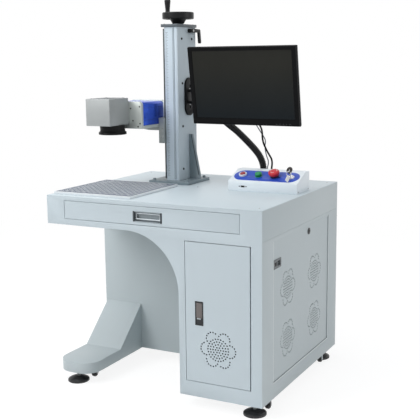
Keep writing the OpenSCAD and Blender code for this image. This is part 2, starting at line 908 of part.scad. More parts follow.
// Cabinet door
module cabinet_door() {
    latch_x = door_x + latch_in;
    latch_z = door_z + latch_up;
    color([0.77, 0.82, 0.85]) from_corner() difference() {
        union() {
            front_sheet(0, sheet) difference() {
                translate([door_x, door_z]) square([door_w, door_h]);
                translate([latch_x, latch_z]) square([latch_w, latch_h]);
                translate([door_x + door_w / 2 + vent_shift, door_z + vent_up]) flower();
            }
            folded_edge([door_x, sheet / 2, door_z], [door_w, lip - sheet / 2, door_h], sheet);
        }
        rod_z([door_axis_x, door_axis_y, door_z - over], hinge_r + fit, door_h + 2 * over);
    }
}
module door_hinges() {
    color([0.6, 0.61, 0.62]) from_corner()
        for (z = [door_z - door_gap - door_pin_out, door_z + door_h + door_gap + door_pin_out - door_pin_l])
            rod_z([door_axis_x, door_axis_y, z], hinge_r, door_pin_l);
}

module latch_frame() {
    x = door_x + latch_in;
    z = door_z + latch_up;
    color([0.15, 0.15, 0.16]) from_corner() difference() {
        union() {
            block([x - sheet, -latch_proud, z - sheet], [latch_w + 2 * sheet, latch_proud, latch_h + 2 * sheet]);
            block([x, -latch_proud / 2, z], [latch_w, latch_t, latch_h]);
        }
        block([x + sheet, -2 * over, z + sheet], [latch_w - 2 * sheet, latch_t / 2 + 2 * over, latch_h - 2 * sheet]);
    }
}

module latch_lever() {
    x = door_x + latch_in + sheet + gap;
    w = latch_w - 2 * sheet - 2 * gap;
    z = door_z + latch_up + sheet + gap;
    h = latch_h - 2 * sheet - 2 * gap;
    color([0.42, 0.38, 0.36]) from_corner() difference() {
        union() {
            block([x, -latch_proud, z], [w, latch_t / 3, h - w / 4]);
            rod_x([x, latch_t / 5, z + h - w / 6], w / 6, w);
        }
        rod_y([x + w / 2, -latch_proud - over, z + h / 4], w / 4, latch_t / 6 + over);
    }
}

// Cabinet contents
// A ring-shaped groove in a front face
module fan_groove(p, r) {
    difference() {
        rod_y([p[0], p[1] - over, p[2]], r, over + fan_deep);
        rod_y([p[0], p[1] - 2 * over, p[2]], r - fan_groove_w, 3 * over + fan_deep);
    }
}

module laser_source() {
    x = cab_x + inner_x;
    z = ground_gap + shelf_h + sheet;
    color([0.35, 0.37, 0.4]) from_corner() difference() {
        union() {
            block([x, inner_y, z + source_foot_h], [source_w, source_d, source_h]);
            for (u = [source_foot_r, source_w - source_foot_r], v = [source_foot_r, source_d - source_foot_r])
                rod_z([x + u, inner_y + v, z], source_foot_r, source_foot_h + sheet);
        }
        for (share = fan_ring_shares) fan_groove([x + source_w / 2, inner_y, z + source_foot_h + source_h / 2],
            source_h / 2 * share);
    }
}

module computer_case() {
    x = cab_x + inner_x;
    color([0.2, 0.2, 0.22]) from_corner() difference() {
        block([x, inner_y, floor_z], [case_w, case_d, case_h]);
        block([x + case_w * 0.1, inner_y - over, floor_z + case_h * 0.72], [case_w * 0.8, lip / 2, case_h * 0.16]);
        rod_y([x + case_w * 0.82, inner_y - over, floor_z + case_h * 0.6], case_w * 0.05, lip / 3);
    }
}

// Work plate with a staggered field of tapped holes, the four corner ones for fixtures
module work_plate() {
    nx = floor((plate_w - tap_pitch) / tap_pitch);
    ny = floor((plate_d - tap_pitch) / tap_pitch);
    color([0.45, 0.49, 0.53]) from_corner() translate([plate_x, plate_y, desk_h]) linear_extrude(plate_t)
        difference() {
            square([plate_w, plate_d]);
            translate([(plate_w - nx * tap_pitch) / 2, (plate_d - ny * tap_pitch) / 2]) {
                for (i = [0 : nx], j = [0 : ny]) translate([i * tap_pitch, j * tap_pitch])
                    circle(r = tap_r, $fn = (i == 0 || i == nx) && (j == 0 || j == ny) ? 32 : tap_fn);
                for (i = [0 : nx - 1], j = [0 : ny - 1])
                    translate([(i + 0.5) * tap_pitch, (j + 0.5) * tap_pitch]) circle(r = tap_r, $fn = tap_fn);
            }
        }
}

// Column
module column_base() {
    color([0.38, 0.42, 0.45]) from_corner() {
        difference() {
            block([base_x, base_y, desk_h], [base_w, base_w, base_t]);
            rod_z([screw_x, screw_y, desk_h + base_t / 2], screw_r + fit, base_t);
        }
        for (x = [base_bolt_in, base_w - base_bolt_in], y = [base_bolt_in, base_w - base_bolt_in])
            rod_z([base_x + x, base_y + y, col_z], base_bolt_r, base_bolt_h);
        translate([col_x + col_w, col_y + col_d * gusset_y_share, col_z]) front_sheet(-gusset_t / 2, gusset_t)
            polygon([[gap, 0], [gusset_w, 0], [gusset_w, gusset_toe], [gusset_top, gusset_h], [gap, gusset_h]]);
        difference() {
            rod_z([screw_x, screw_y, col_z], foot_bearing_r, foot_bearing_h);
            rod_z([screw_x, screw_y, col_z - over], screw_r + fit, foot_bearing_h + 2 * over);
        }
    }
}

module column_profile() {
    color([0.78, 0.83, 0.86]) from_corner() translate([col_x, col_y, col_z]) linear_extrude(col_h)
        difference() {
            square([col_w - cover_t, col_d]);
            translate([col_wall, col_wall]) square([col_w - cover_t - 2 * col_wall, col_d - 2 * col_wall]);
            translate([-over, (col_d - slot_w) / 2]) square([col_wall + 2 * over, slot_w]);
            translate([col_w - groove_in - groove_w, -over]) square([groove_w, groove_deep + over]);
            for (y = [rail_in, col_d - rail_in - rail_w]) translate([-over, y - gap]) square([over + gap, rail_w + 2 * gap]);
        }
}

module column_cover() {
    x = col_x + col_w - cover_t;
    color([0.65, 0.69, 0.71]) from_corner() {
        block([x, col_y, col_z], [cover_t, col_d, col_h]);
        for (share = cover_screw_shares)
            rod_x([x + cover_t, col_y + cover_edge, col_z + col_h * share], cover_screw_r, cover_screw_h);
        for (share = cover_rear_shares)
            rod_x([x + cover_t, col_y + col_d - cover_edge, col_z + col_h * share], cover_screw_r, cover_screw_h);
    }
}

module column_cap() {
    color([0.25, 0.28, 0.3]) from_corner() difference() {
        union() {
            block([col_x - cap_left, col_y - cap_over, col_top], [col_w + cap_left + cap_over, col_d + 2 * cap_over, cap_t]);
            rod_z([screw_x, screw_y, col_top + cap_t / 2], cap_bearing_r, cap_t / 2 + cap_bearing_h);
        }
        rod_z([screw_x, screw_y, col_top - over], screw_r + fit, 2 * cap_t);
    }
}

module guide_rails() {
    color([0.2, 0.23, 0.25]) from_corner() for (y = [rail_in, col_d - rail_in - rail_w])
        block([col_x - rail_out, col_y + y, col_z + rail_end], [rail_out, rail_w, col_h - 2 * rail_end]);
}

module lead_screw() {
    low = desk_h + base_t / 2 + gap;
    color([0.6, 0.61, 0.62]) from_corner()
        rod_z([screw_x, screw_y, low], screw_r, col_top + cap_t + cap_bearing_h + hub_gap + hub_in - low);
}

module handwheel() {
    low = col_top + cap_t + cap_bearing_h + hub_gap;
    top = hub_h + web_t;
    color([0.06, 0.06, 0.07]) from_corner() translate([screw_x, screw_y, low]) {
        difference() {
            rotate_extrude($fn = 48) polygon([[0, 0], [hub_r, 0], [hub_flare_r, hub_h], [hub_flare_r, top],
                [hub_r, top + hub_crown], [0, top + hub_crown]]);
            translate([0, 0, -over]) cylinder(r = screw_r, h = hub_in + over);
        }
        rotate_extrude($fn = 48) hand_rim();
        for (i = [0 : 2]) rotate(i * 120 + grip_angle) translate([hub_flare_r - web_t, -spoke_w / 2, hub_h + spoke_in])
            cube([hand_r - rim_t / 2 - hub_flare_r + web_t, spoke_w, web_t - 2 * spoke_in]);
        rotate(grip_angle) translate([hand_r - grip_in, 0, hub_h + rim_h - over])
            cylinder(r = grip_stud_r, h = grip_h + over);
    }
}

// Section of the handwheel's rim with rounded outer corners
module hand_rim() {
    r = rim_t / 3;
    translate([hand_r - rim_t, hub_h]) {
        square([rim_t - r, rim_h]);
        translate([0, r]) square([rim_t, rim_h - 2 * r]);
        for (z = [r, rim_h - r]) translate([rim_t - r, z]) circle(r = r, $fn = 16);
    }
}

module wheel_handle() {
    low = col_top + cap_t + cap_bearing_h + hub_gap;
    color([0.05, 0.05, 0.05]) from_corner() translate([screw_x, screw_y, low]) rotate(grip_angle)
        translate([hand_r - grip_in, 0, hub_h + rim_h + gap]) difference() {
            rotate_extrude() polygon([[0, 0], [grip_low_r, 0], [grip_r, grip_h * 0.85], [grip_r, grip_h * 0.95],
                [grip_r * 0.8, grip_h], [0, grip_h]]);
            translate([0, 0, -over]) cylinder(r = grip_stud_r + fit, h = grip_h * 2);
        }
}

module clamp_lever() {
    x = col_x + col_w + gap;
    y = col_y + clamp_y;
    z = col_top - clamp_drop;
    color([0.07, 0.07, 0.08]) from_corner() {
        rod_x([x, y, z], clamp_boss_r, clamp_boss_l + clamp_arm_t);
        translate([x + clamp_boss_l, 0, 0]) side_sheet(0, clamp_arm_t) {
            hull() {
                translate([y, z]) circle(r = clamp_boss_r, $fn = 32);
                translate([y + clamp_run, z]) circle(r = clamp_end_r, $fn = 32);
            }
            hull() {
                translate([y + clamp_run, z]) circle(r = clamp_end_r, $fn = 32);
                translate([y + clamp_run + clamp_end_r, z - clamp_fall]) circle(r = clamp_end_r, $fn = 32);
            }
        }
    }
}

// Slide plate with guide shoes round the rails and the nut on the lead screw
module slider() {
    x = col_x - rail_out - slide_gap - slide_t;
    color([0.78, 0.8, 0.82]) from_corner() {
        block([x, col_y + slide_over, slide_low], [slide_t, col_d - 2 * slide_over, slide_h]);
        for (y = [rail_in + rail_w + slide_gap, col_d - rail_in - rail_w - slide_gap - guide_w])
            block([x + slide_t / 2, col_y + y, slide_low], [slide_t / 2 + slide_gap + rail_out - gap, guide_w, slide_h]);
        difference() {
            union() {
                block([x + slide_t / 2, screw_y - nut_arm_w / 2, slide_low + slide_h / 2 - nut_len / 2],
                    [screw_x - x, nut_arm_w, nut_len]);
                rod_z([screw_x, screw_y, slide_low + slide_h / 2 - nut_len / 2], nut_r2, nut_len);
            }
            rod_z([screw_x, screw_y, slide_low], screw_r + fit, slide_h);
        }
    }
}

module slider_bracket() {
    x = col_x - rail_out - slide_gap - slide_t - bracket_t;
    y = col_y + slide_over;
    d = col_d - 2 * slide_over;
    color([0.42, 0.45, 0.45]) from_corner() {
        difference() {
            union() {
                block([x, y, slide_low], [bracket_t, d, bracket_h]);
                block([x, col_y - bracket_gap - bracket_front, slide_low], [bracket_wide, bracket_front, bracket_h]);
                block([x, col_y - bracket_gap - bracket_front, slide_low], [bracket_t, bracket_front + slide_over + 2 * bracket_gap, bracket_h]);
            }
            block([x - over, 0, bed_z - shelf_t], [over + gap, desk_d, house_h + shelf_t]);
        }
        translate([0, 0, bed_z - shelf_t]) linear_extrude(shelf_t)
            polygon([[x + gap, y], [x + gap, y + d], [x - shelf_l, y + d], [x - shelf_l, y + shelf_cut], [x - shelf_l / 2, y]]);
        for (z = [bracket_h * 0.25, bracket_h * 0.47, bracket_h * 0.57])
            rod_y([x + bracket_wide * 0.7, col_y - bracket_gap - bracket_front - bracket_bolt_h, slide_low + z], bracket_bolt_r, bracket_bolt_h);
    }
}

// Laser head
module laser_housing() {
    color([0.12, 0.22, 0.6]) from_corner() translate([head_x, head_y + end_t, house_z]) front_sheet(0, house_l)
        polygon([[0, 0], [house_w, 0], [house_w, house_h - edge_cut], [house_w - edge_cut, house_h],
            [edge_cut, house_h], [0, house_h - edge_cut]]);
}

module housing_plates() {
    long = house_l + 2 * end_t;
    color([0.66, 0.68, 0.68]) from_corner() translate([head_x, head_y, bed_z]) {
        for (y = [0, house_l + end_t]) front_sheet(y, end_t)
            polygon([[0, 0], [house_w, 0], [house_w, end_h - edge_cut], [house_w - edge_cut, end_h],
                [edge_cut, end_h], [0, end_h - edge_cut]]);
        block([0, end_t, 0], [house_w, house_l, bed_t]);
        rod_y([house_w / 2, long - over, bed_t + house_h / 2], isolator_r, isolator_l + over);
        rod_y([house_w / 2, long + isolator_l - over, bed_t + house_h / 2], gland_r, gland_l + over);
    }
}

module galvo_head() {
    x = head_x - galvo_left;
    y = head_y - galvo_l;
    z = desk_h + galvo_low;
    color([0.68, 0.7, 0.7]) from_corner() difference() {
        union() {
            block([x, y, z], [galvo_w, galvo_l - galvo_flange_t, galvo_h]);
            block([x + galvo_flange_w, head_y - galvo_flange_t, z + galvo_flange_w],
                [galvo_w - galvo_flange_w, galvo_flange_t, galvo_h - 3 * galvo_flange_w]);
        }
        rod_z([x + lens_x, y + lens_y, z - over], lens_glass_r, lens_glass_in + over);
    }
}

module lens() {
    x = head_x - galvo_left + lens_x;
    y = head_y - galvo_l + lens_y;
    z = desk_h + galvo_low;
    color([0.05, 0.05, 0.05]) from_corner() translate([x, y, z - lens_h - lens_ring_h]) {
        rotate_extrude($fn = 48) polygon([[0, lens_glass_in], [lens_glass_r, lens_glass_in], [lens_glass_r + lens_lip, 0],
            [lens_ring_r, 0], [lens_ring_r, lens_ring_h * 0.55], [lens_r, lens_ring_h], [lens_r, lens_ring_h + lens_h],
            [0, lens_ring_h + lens_h]]);
    }
}

// Control box: a folded shell, open below
module ctrl_side(inset) {
    polygon([[inset, 0], [inset, ctrl_front_h - inset], [slope_run, ctrl_h - inset], [ctrl_d - inset, ctrl_h - inset],
        [ctrl_d - inset, 0]]);
}

// Places the children on the slope, at a distance along the box from its left side
module on_slope(x) {
    translate([ctrl_x + x, ctrl_y, ctrl_z + ctrl_front_h]) rotate([slope_a, 0, 0]) translate([0, slope_l / 2, 0]) children();
}

function control_x(i) = ctrl_w / 2 + (i - 1.5) * ctrl_pitch;

module control_box() {
    color([0.84, 0.89, 0.92]) from_corner() difference() {
        translate([ctrl_x, ctrl_y, ctrl_z]) difference() {
            side_sheet(0, ctrl_w) ctrl_side(0);
            side_sheet(sheet, ctrl_w - 2 * sheet) translate([0, -over]) ctrl_side(sheet);
        }
        for (i = [0 : 3]) on_slope(control_x(i)) translate([0, 0, -stem_l]) cylinder(r = button_hole_r, h = 2 * stem_l);
        block([ctrl_x + usb_x, ctrl_y - over, ctrl_z + usb_z - usb_h / 2], [usb_w, sheet + 2 * over, usb_h]);
    }
}

module overlay_panel() {
    r = overlay_w / 2;
    x = ctrl_w / 2;
    color([0.25, 0.4, 0.8]) from_corner() difference() {
        on_slope(x) linear_extrude(overlay_t) {
            for (s = [-1, 1]) translate([s * (overlay_l / 2 - r), 0]) circle(r = r, $fn = 48);
            translate([-overlay_l / 2 + r, -r]) square([overlay_l - 2 * r, overlay_w]);
        }
        for (i = [0 : 3]) on_slope(control_x(i)) translate([0, 0, -over]) cylinder(r = button_hole_r, h = 2 * over);
    }
}

// A round push button: a stem in the barrel with a flat or domed cap
module push_button(i, dome) {
    r = button_bore_r - gap;
    top = overlay_t + button_ring_h + button_cap_h;
    from_corner() on_slope(control_x(i)) rotate_extrude()
        polygon([[0, -stem_l / 2], [r, -stem_l / 2], [r, top - dome / 2], [r * 0.7, top + dome / 4], [0, top + dome / 2]]);
}

module power_button() { color([0.78, 0.15, 0.18]) push_button(0, sheet); }
module start_button() { color([0.15, 0.6, 0.35]) push_button(1, button_dome_h); }

module emergency_stop() {
    low = overlay_t + button_ring_h + gap + stop_travel;
    top = low + stop_neck_h;
    color([0.85, 0.25, 0.25]) from_corner() on_slope(control_x(2)) rotate_extrude($fn = 48)
        polygon([[0, -stem_l / 2], [button_bore_r - gap, -stem_l / 2], [button_bore_r - gap, low], [stop_r * 0.6, low],
            [stop_r * 0.8, top], [stop_r, top + stop_h * 0.3], [stop_r, top + stop_h * 0.65],
            [stop_r * 0.85, top + stop_h], [0, top + stop_h]]);
}

// Fixed bodies of the controls: bezels on the panel and their barrels through it
module switch_body(ring_r, ring_h, bore_r) {
    difference() {
        union() {
            translate([0, 0, overlay_t]) cylinder(r = ring_r, h = ring_h);
            translate([0, 0, -stem_l]) cylinder(r = button_hole_r - gap, h = stem_l + overlay_t + ring_h / 2);
        }
        translate([0, 0, -stem_l - over]) cylinder(r = bore_r, h = 2 * stem_l);
    }
}

module switch_bodies() {
    color([0.82, 0.82, 0.82]) from_corner() {
        for (i = [0 : 2]) on_slope(control_x(i)) switch_body(button_ring_r, button_ring_h, button_bore_r);
        on_slope(control_x(3)) switch_body(key_ring_r, key_ring_h, key_plug_r);
    }
}

// Key with its ring and tag; the ring hangs straight down from the bow
module key() {
    bow = key_ring_h + key_blade_h;
    edge = key_bow_hole_r - tag_wire_r - gap;
    color([0.7, 0.7, 0.68]) from_corner() on_slope(control_x(3)) {
        translate([0, 0, -stem_l / 2]) cylinder(r = key_plug_r - fit, h = stem_l / 2 + key_ring_h);
        translate([-key_t / 2, -key_blade_w / 2, key_ring_h - over]) cube([key_t, key_blade_w, key_blade_h - key_bow_r / 2]);
        difference() {
            translate([-key_t / 2, 0, bow]) rotate([0, 90, 0]) cylinder(r = key_bow_r, h = key_t);
            translate([-key_t, -key_hole_y, bow]) rotate([0, 90, 0]) cylinder(r = key_bow_hole_r, h = 2 * key_t);
        }
        translate([0, -key_hole_y, bow]) rotate([-slope_a, 0, 0]) translate([0, 0, -edge - tag_ring_r]) {
            rotate([90, 0, 0]) rotate_extrude($fn = 24) translate([tag_ring_r, 0]) circle(r = tag_wire_r, $fn = 8);
            translate([0, 0, -tag_ring_r]) rotate([slope_a + tag_fall, 0, 0]) key_tag();
        }
    }
}

// The tag lies along -Y from the ring
module key_tag() {
    edge = key_bow_hole_r - tag_wire_r - gap;
    translate([-tag_t / 2, -edge, 0]) rotate([0, 90, 0]) linear_extrude(tag_t) difference() {
        translate([-tag_w / 2, tag_hole_in - tag_l]) square([tag_w, tag_l]);
        circle(r = key_bow_hole_r);
    }
}

// Wall plate of the monitor arm with its vertical pivot
module arm_wall_plate() {
    x = col_x + col_w;
    r = wall_w / 2;
    px = x + pivot_out;
    color([0.08, 0.08, 0.09]) from_corner() {
        side_sheet(x, wall_t) difference() {
            union() {
                for (s = [-1, 1]) translate([wall_y, wall_z + s * (wall_h / 2 - r)]) circle(r = r, $fn = 64);
                translate([wall_y - r, wall_z - wall_h / 2 + r]) square([wall_w, wall_h - 2 * r]);
            }
            for (s = [-1, 1]) translate([wall_y - wall_slot_w / 2, wall_z + s * wall_slot_z - wall_slot_l / 2])
                square([wall_slot_w, wall_slot_l]);
        }
        for (z = [wall_z - eye_h / 2 - gap - ear_h, wall_z + eye_h / 2 + gap]) {
            rod_z([px, wall_y, z], pivot_r, ear_h);
            block([x + wall_t / 2, wall_y - head_half, z], [pivot_out - wall_t / 2, 2 * head_half, ear_h]);
        }
        rod_z([px, wall_y, wall_z - eye_h / 2 - ear_h], pivot_pin_r, eye_h + 2 * ear_h);
    }
}

module monitor_arm() {
    z = wall_z - eye_h / 2;
    color([0.1, 0.1, 0.11]) from_corner() difference() {
        translate([col_x + col_w + pivot_out, wall_y, z]) rotate(arm_a) {
            for (u = [0, arm_l]) translate([u, 0, 0]) cylinder(r = pivot_r, h = eye_h);
            translate([0, -arm_w / 2, (eye_h - arm_h) / 2]) cube([arm_l, arm_w, arm_h]);
        }
        rod_z([col_x + col_w + pivot_out, wall_y, z - over], pivot_pin_r + fit, eye_h + 2 * over);
        rod_z([arm_head_xy[0], arm_head_xy[1], z - over], pivot_pin_r + fit, eye_h + 2 * over);
    }
}

// Frame of the monitor: origin at the middle of its front, X along it, Z up its face
module at_monitor() {
    from_corner() translate(mon_at) rotate([0, 0, mon_turn]) rotate([mon_tilt, 0, 0]) children();
}

// Turning head: a clevis on the arm's end and a barrel for the tilt pin
module arm_head() {
    low = wall_z - eye_h / 2 - gap - ear_h;
    top = wall_z + eye_h / 2 + gap;
    reach = pivot_r + head_reach;
    color([0.1, 0.1, 0.11]) {
        from_corner() translate([arm_head_xy[0], arm_head_xy[1], 0]) {
            for (z = [low, top]) rod_z([0, 0, z], pivot_r, ear_h);
            rod_z([0, 0, low], pivot_pin_r, top - low + ear_h);
            rotate(mon_turn) {
                for (z = [low, top]) block([-head_half, -reach, z], [2 * head_half, reach, ear_h]);
                block([-head_half, -reach, low], [2 * head_half, head_web, top - low + ear_h]);
            }
        }
        at_monitor() difference() {
            union() {
                rod_x([-pivot_r, tilt_y, 0], tilt_r, 2 * pivot_r);
                side_sheet(-head_web_w / 2, head_web_w) polygon([[tilt_y - tilt_r, 0], [tilt_y + tilt_r, 0],
                    [tilt_y + head_back + head_foot, -head_drop], [tilt_y + head_back - head_foot / 2, -head_drop]]);
            }
            rod_x([-pivot_r - over, tilt_y, 0], tilt_pin_r + fit, 2 * pivot_r + 2 * over);
        }
    }
}

module monitor_shell() {
    bw = mon_w * mon_back_w_share;
    bh = mon_h * mon_back_h_share;
    color([0.06, 0.06, 0.07]) at_monitor() {
        difference() {
            union() {
                block([-mon_w / 2, 0, -mon_h / 2], [mon_w, mon_t, mon_h]);
                hull() {
                    block([-bw / 2, mon_t + mon_back_t - over, -bh / 2], [bw, over, bh]);
                    block([-mon_w * 0.45, mon_t - over, -mon_h * 0.44], [mon_w * 0.9, over, mon_h * 0.88]);
                }
            }
            block([-mon_w / 2 + bezel, -over, -mon_h / 2 + bezel_low],
                [mon_w - 2 * bezel, screen_in + screen_t + over, mon_h - bezel_low - bezel_top]);
        }
        block([-vesa_w / 2, mon_t + mon_back_t, -vesa_w / 2], [vesa_w, vesa_t, vesa_w]);
        for (x = [ear_in, -ear_in - ear_t]) side_sheet(x, ear_t) {
            translate([tilt_y, 0]) circle(r = tilt_r);
            translate([mon_t + mon_back_t, -tilt_r]) square([tilt_back + vesa_t, 2 * tilt_r]);
        }
        rod_x([-ear_in - over, tilt_y, 0], tilt_pin_r, 2 * (ear_in + over));
    }
}

module monitor_screen() {
    color([0.12, 0.12, 0.12]) at_monitor() translate([-mon_w / 2 + bezel, screen_in, -mon_h / 2 + bezel_low])
        cube([mon_w - 2 * bezel, screen_t, mon_h - bezel_low - bezel_top]);
}

// Directions along a route, and side directions that are carried along it without twist
function unit(v) = v / norm(v);
function heading(p, i) = let(n = len(p) - 1) unit(p[min(i + 1, n)] - p[max(i - 1, 0)]);
function sides(p, i, s) = i == len(p) ? [] :
    let(h = heading(p, i), q = unit(s - (s * h) * h)) concat([q], sides(p, i + 1, q));

// A smooth curve through the points of a route
function bend(a, b, c, d, t) = 0.5 * (2 * b + t * (c - a) + t * t * (2 * a - 5 * b + 4 * c - d)
    + t * t * t * (3 * b - a - 3 * c + d));
function on_curve(p, u) = let(m = len(p) - 1, i = min(floor(u), m - 1))
    bend(p[max(i - 1, 0)], p[i], p[i + 1], p[min(i + 2, m)], u - i);

// Distances along the curve, at a given number of steps to each stretch of the route
function distances(p, s, i, so_far) = i > s * (len(p) - 1) ? [] :
    let(d = i == 0 ? 0 : so_far + norm(on_curve(p, i / s) - on_curve(p, (i - 1) / s)))
    concat([[d, i / s]], distances(p, s, i + 1, d));

// Points at even distances along the curve
function smooth(p, n) = let(table = distances(p, route_steps, 0, 0), whole = table[len(table) - 1][0])
    [for (k = [0 : n]) on_curve(p, lookup(whole * k / n, table))];

// Ring number i of a tube's skin
function ring(p, q, i, r, n) = let(h = heading(p, i), v = cross(h, q[i]))
    [for (k = [0 : n - 1]) let(a = 360 * k / n) p[i] + r * (cos(a) * q[i] + sin(a) * v)];
function skin(rows, n, first, back) = [for (i = [0 : rows - 2], k = [0 : n - 1], j = [0, 1])
    let(m = (k + 1) % n, a = first + i * n + k, b = first + i * n + m, f = j == 0 ? [a, b + n, b] : [a, a + n, b + n])
    back ? [f[0], f[2], f[1]] : f];

module tube(p, r, n) {
    q = sides(p, 0, [0, 1, 0.02]);
    rows = len(p);
    last = (rows - 1) * n;
    polyhedron([for (i = [0 : rows - 1]) each ring(p, q, i, r, n)], concat(skin(rows, n, 0, false),
        [for (k = [1 : n - 2]) [0, k, k + 1]], [for (k = [1 : n - 2]) [last, last + k + 1, last + k]]));
}

// Corrugated conduit: two rings to a rib, and a smooth bore with a ring at every third rib
module conduit() {
    n = conduit_sides;
    outer = smooth(conduit_path, 2 * conduit_ribs);
    qo = sides(outer, 0, [0, 0.02, 1]);
    rows = len(outer);
    base = rows * n;
    rings = 2 * conduit_ribs / bore_step;
    last = (rows - 1) * n;
    end = base + rings * n;
    points = concat([for (i = [0 : rows - 1]) each ring(outer, qo, i, conduit_r - (i % 2) * conduit_rib, n)],
        [for (i = [0 : rings]) each ring(outer, qo, bore_step * i, conduit_bore_r, n)]);
    rims = [for (k = [0 : n - 1]) let(m = (k + 1) % n) each [[k, m, base + m], [k, base + m, base + k],
        [last + k, end + m, last + m], [last + k, end + k, end + m]]];
    color([0.07, 0.07, 0.07]) from_corner()
        polyhedron(points, concat(skin(rows, n, 0, false), skin(rings + 1, n, base, true), rims));
}

module monitor_leads() {
    color([0.07, 0.07, 0.07]) from_corner() {
        tube(lead_a_path, lead_a_r, lead_sides);
        tube(lead_b_path, lead_b_r, lead_sides);
    }
}

module cable_glands() {
    color([0.08, 0.08, 0.08]) from_corner() {
        rod_z([conduit_gland[0], conduit_gland[1], desk_h], gland_nut_r, gland_nut_h);
        for (p = [lead_a_gland, lead_b_gland]) rod_z([p[0], p[1], desk_h], lead_gland_r, lead_gland_h);
    }
}

desk_top();
desk_fascia();
upper_frame();
cabinet_frame();
rear_panel();
side_panel();
side_lock();
power_inlet();
power_rocker();
modesty_panel();
left_leg();
levelling_feet();
caster_fork_left();
caster_fork_right();
caster_wheel_left();
caster_wheel_right();
rear_wheel_left();
rear_wheel_right();
drawer_tray();
drawer_front();
handle_cup();
drawer_handle();
drawer_rails();
cabinet_door();
door_hinges();
latch_frame();
latch_lever();
laser_source();
computer_case();
work_plate();
column_base();
column_profile();
column_cover();
column_cap();
guide_rails();
lead_screw();
handwheel();
wheel_handle();
clamp_lever();
slider();
slider_bracket();
laser_housing();
housing_plates();
galvo_head();
lens();
control_box();
overlay_panel();
power_button();
start_button();
emergency_stop();
switch_bodies();
key();
arm_wall_plate();
monitor_arm();
arm_head();
monitor_shell();
monitor_screen();
conduit();
monitor_leads();
cable_glands();
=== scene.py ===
import json
import math
import bmesh
import bpy
from mathutils import Matrix, Vector
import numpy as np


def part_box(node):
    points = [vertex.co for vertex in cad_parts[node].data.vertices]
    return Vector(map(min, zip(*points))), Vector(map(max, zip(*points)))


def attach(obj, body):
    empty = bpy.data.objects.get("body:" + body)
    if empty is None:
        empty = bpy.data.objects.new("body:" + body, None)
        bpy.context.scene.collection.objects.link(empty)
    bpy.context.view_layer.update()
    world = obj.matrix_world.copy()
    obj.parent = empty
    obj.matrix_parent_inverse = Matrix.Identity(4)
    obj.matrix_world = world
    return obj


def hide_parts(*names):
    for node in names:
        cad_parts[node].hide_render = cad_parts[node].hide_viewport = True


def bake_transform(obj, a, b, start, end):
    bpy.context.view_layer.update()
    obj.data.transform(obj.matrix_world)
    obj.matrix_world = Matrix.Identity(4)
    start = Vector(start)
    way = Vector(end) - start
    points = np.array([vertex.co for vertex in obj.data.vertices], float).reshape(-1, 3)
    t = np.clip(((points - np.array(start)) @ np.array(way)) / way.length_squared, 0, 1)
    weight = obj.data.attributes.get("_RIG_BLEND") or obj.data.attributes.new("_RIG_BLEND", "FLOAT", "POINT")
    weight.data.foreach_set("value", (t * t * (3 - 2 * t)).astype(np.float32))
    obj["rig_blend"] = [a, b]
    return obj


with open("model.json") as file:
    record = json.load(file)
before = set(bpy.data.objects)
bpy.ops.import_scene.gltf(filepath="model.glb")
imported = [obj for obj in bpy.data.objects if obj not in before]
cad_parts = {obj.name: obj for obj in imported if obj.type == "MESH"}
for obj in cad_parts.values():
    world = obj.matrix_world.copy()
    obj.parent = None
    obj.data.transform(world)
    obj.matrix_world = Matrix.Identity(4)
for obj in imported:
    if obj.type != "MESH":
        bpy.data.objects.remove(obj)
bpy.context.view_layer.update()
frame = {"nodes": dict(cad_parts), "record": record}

nodes = frame["nodes"]
body_of = {node: body for body, names in frame["record"]["behaviour"]["bodies"].items() for node in names}

# Camera, floor and lights
# A long lens stands to the right of the machine and looks slightly down at it, as in the photograph.
# The floor and the world look white to the camera, and the lamps are large and soft.
camera_yaw, camera_pitch, camera_roll = math.radians(27.385), math.radians(9.918), math.radians(0.6125)
camera_place, focal_pixels, picture_pixels = (1.51046, -2.81735, 1.17987), 858.2, 420
floor_half, floor_drop = 30, 0.0005
level = Vector((-math.sin(camera_yaw), math.cos(camera_yaw), 0))
look = level * math.cos(camera_pitch) - Vector((0, 0, 1)) * math.sin(camera_pitch)
across = Vector((math.cos(camera_yaw), math.sin(camera_yaw), 0))
down = look.cross(across)
right = across * math.cos(camera_roll) + down * math.sin(camera_roll)
down = down * math.cos(camera_roll) - across * math.sin(camera_roll)
camera = bpy.data.objects.new("camera", bpy.data.cameras.new("camera"))
camera.data.sensor_width = 36
camera.data.lens = camera.data.sensor_width * focal_pixels / picture_pixels
camera.data.clip_end = 60
camera.matrix_world = Matrix.Translation(camera_place) @ Matrix((right, -down, -look)).transposed().to_4x4()
bpy.context.collection.objects.link(camera)
bpy.context.scene.camera = camera


def tree_of(material):
    material.use_nodes = True
    material.node_tree.nodes.clear()
    return material.node_tree


def add(tree, kind, values=None, **links):
    """Adds a node; values set its sockets by name, links join them to other nodes' first or given outputs."""
    node = tree.nodes.new(kind if "Node" in kind else tree.bl_idname[:-4] + kind)
    for key, value in (values or {}).items():
        if isinstance(key, str) and hasattr(node, key) and key not in node.inputs:
            setattr(node, key, value)
        else:
            node.inputs[key].default_value = value
    for key, source in links.items():
        name = key.replace("_", " ")
        source = source.outputs[0] if isinstance(source, bpy.types.Node) else source
        tree.links.new(source, node.inputs[int(name[1:]) if name[0] == "n" and name[1:].isdigit() else name])
    return node


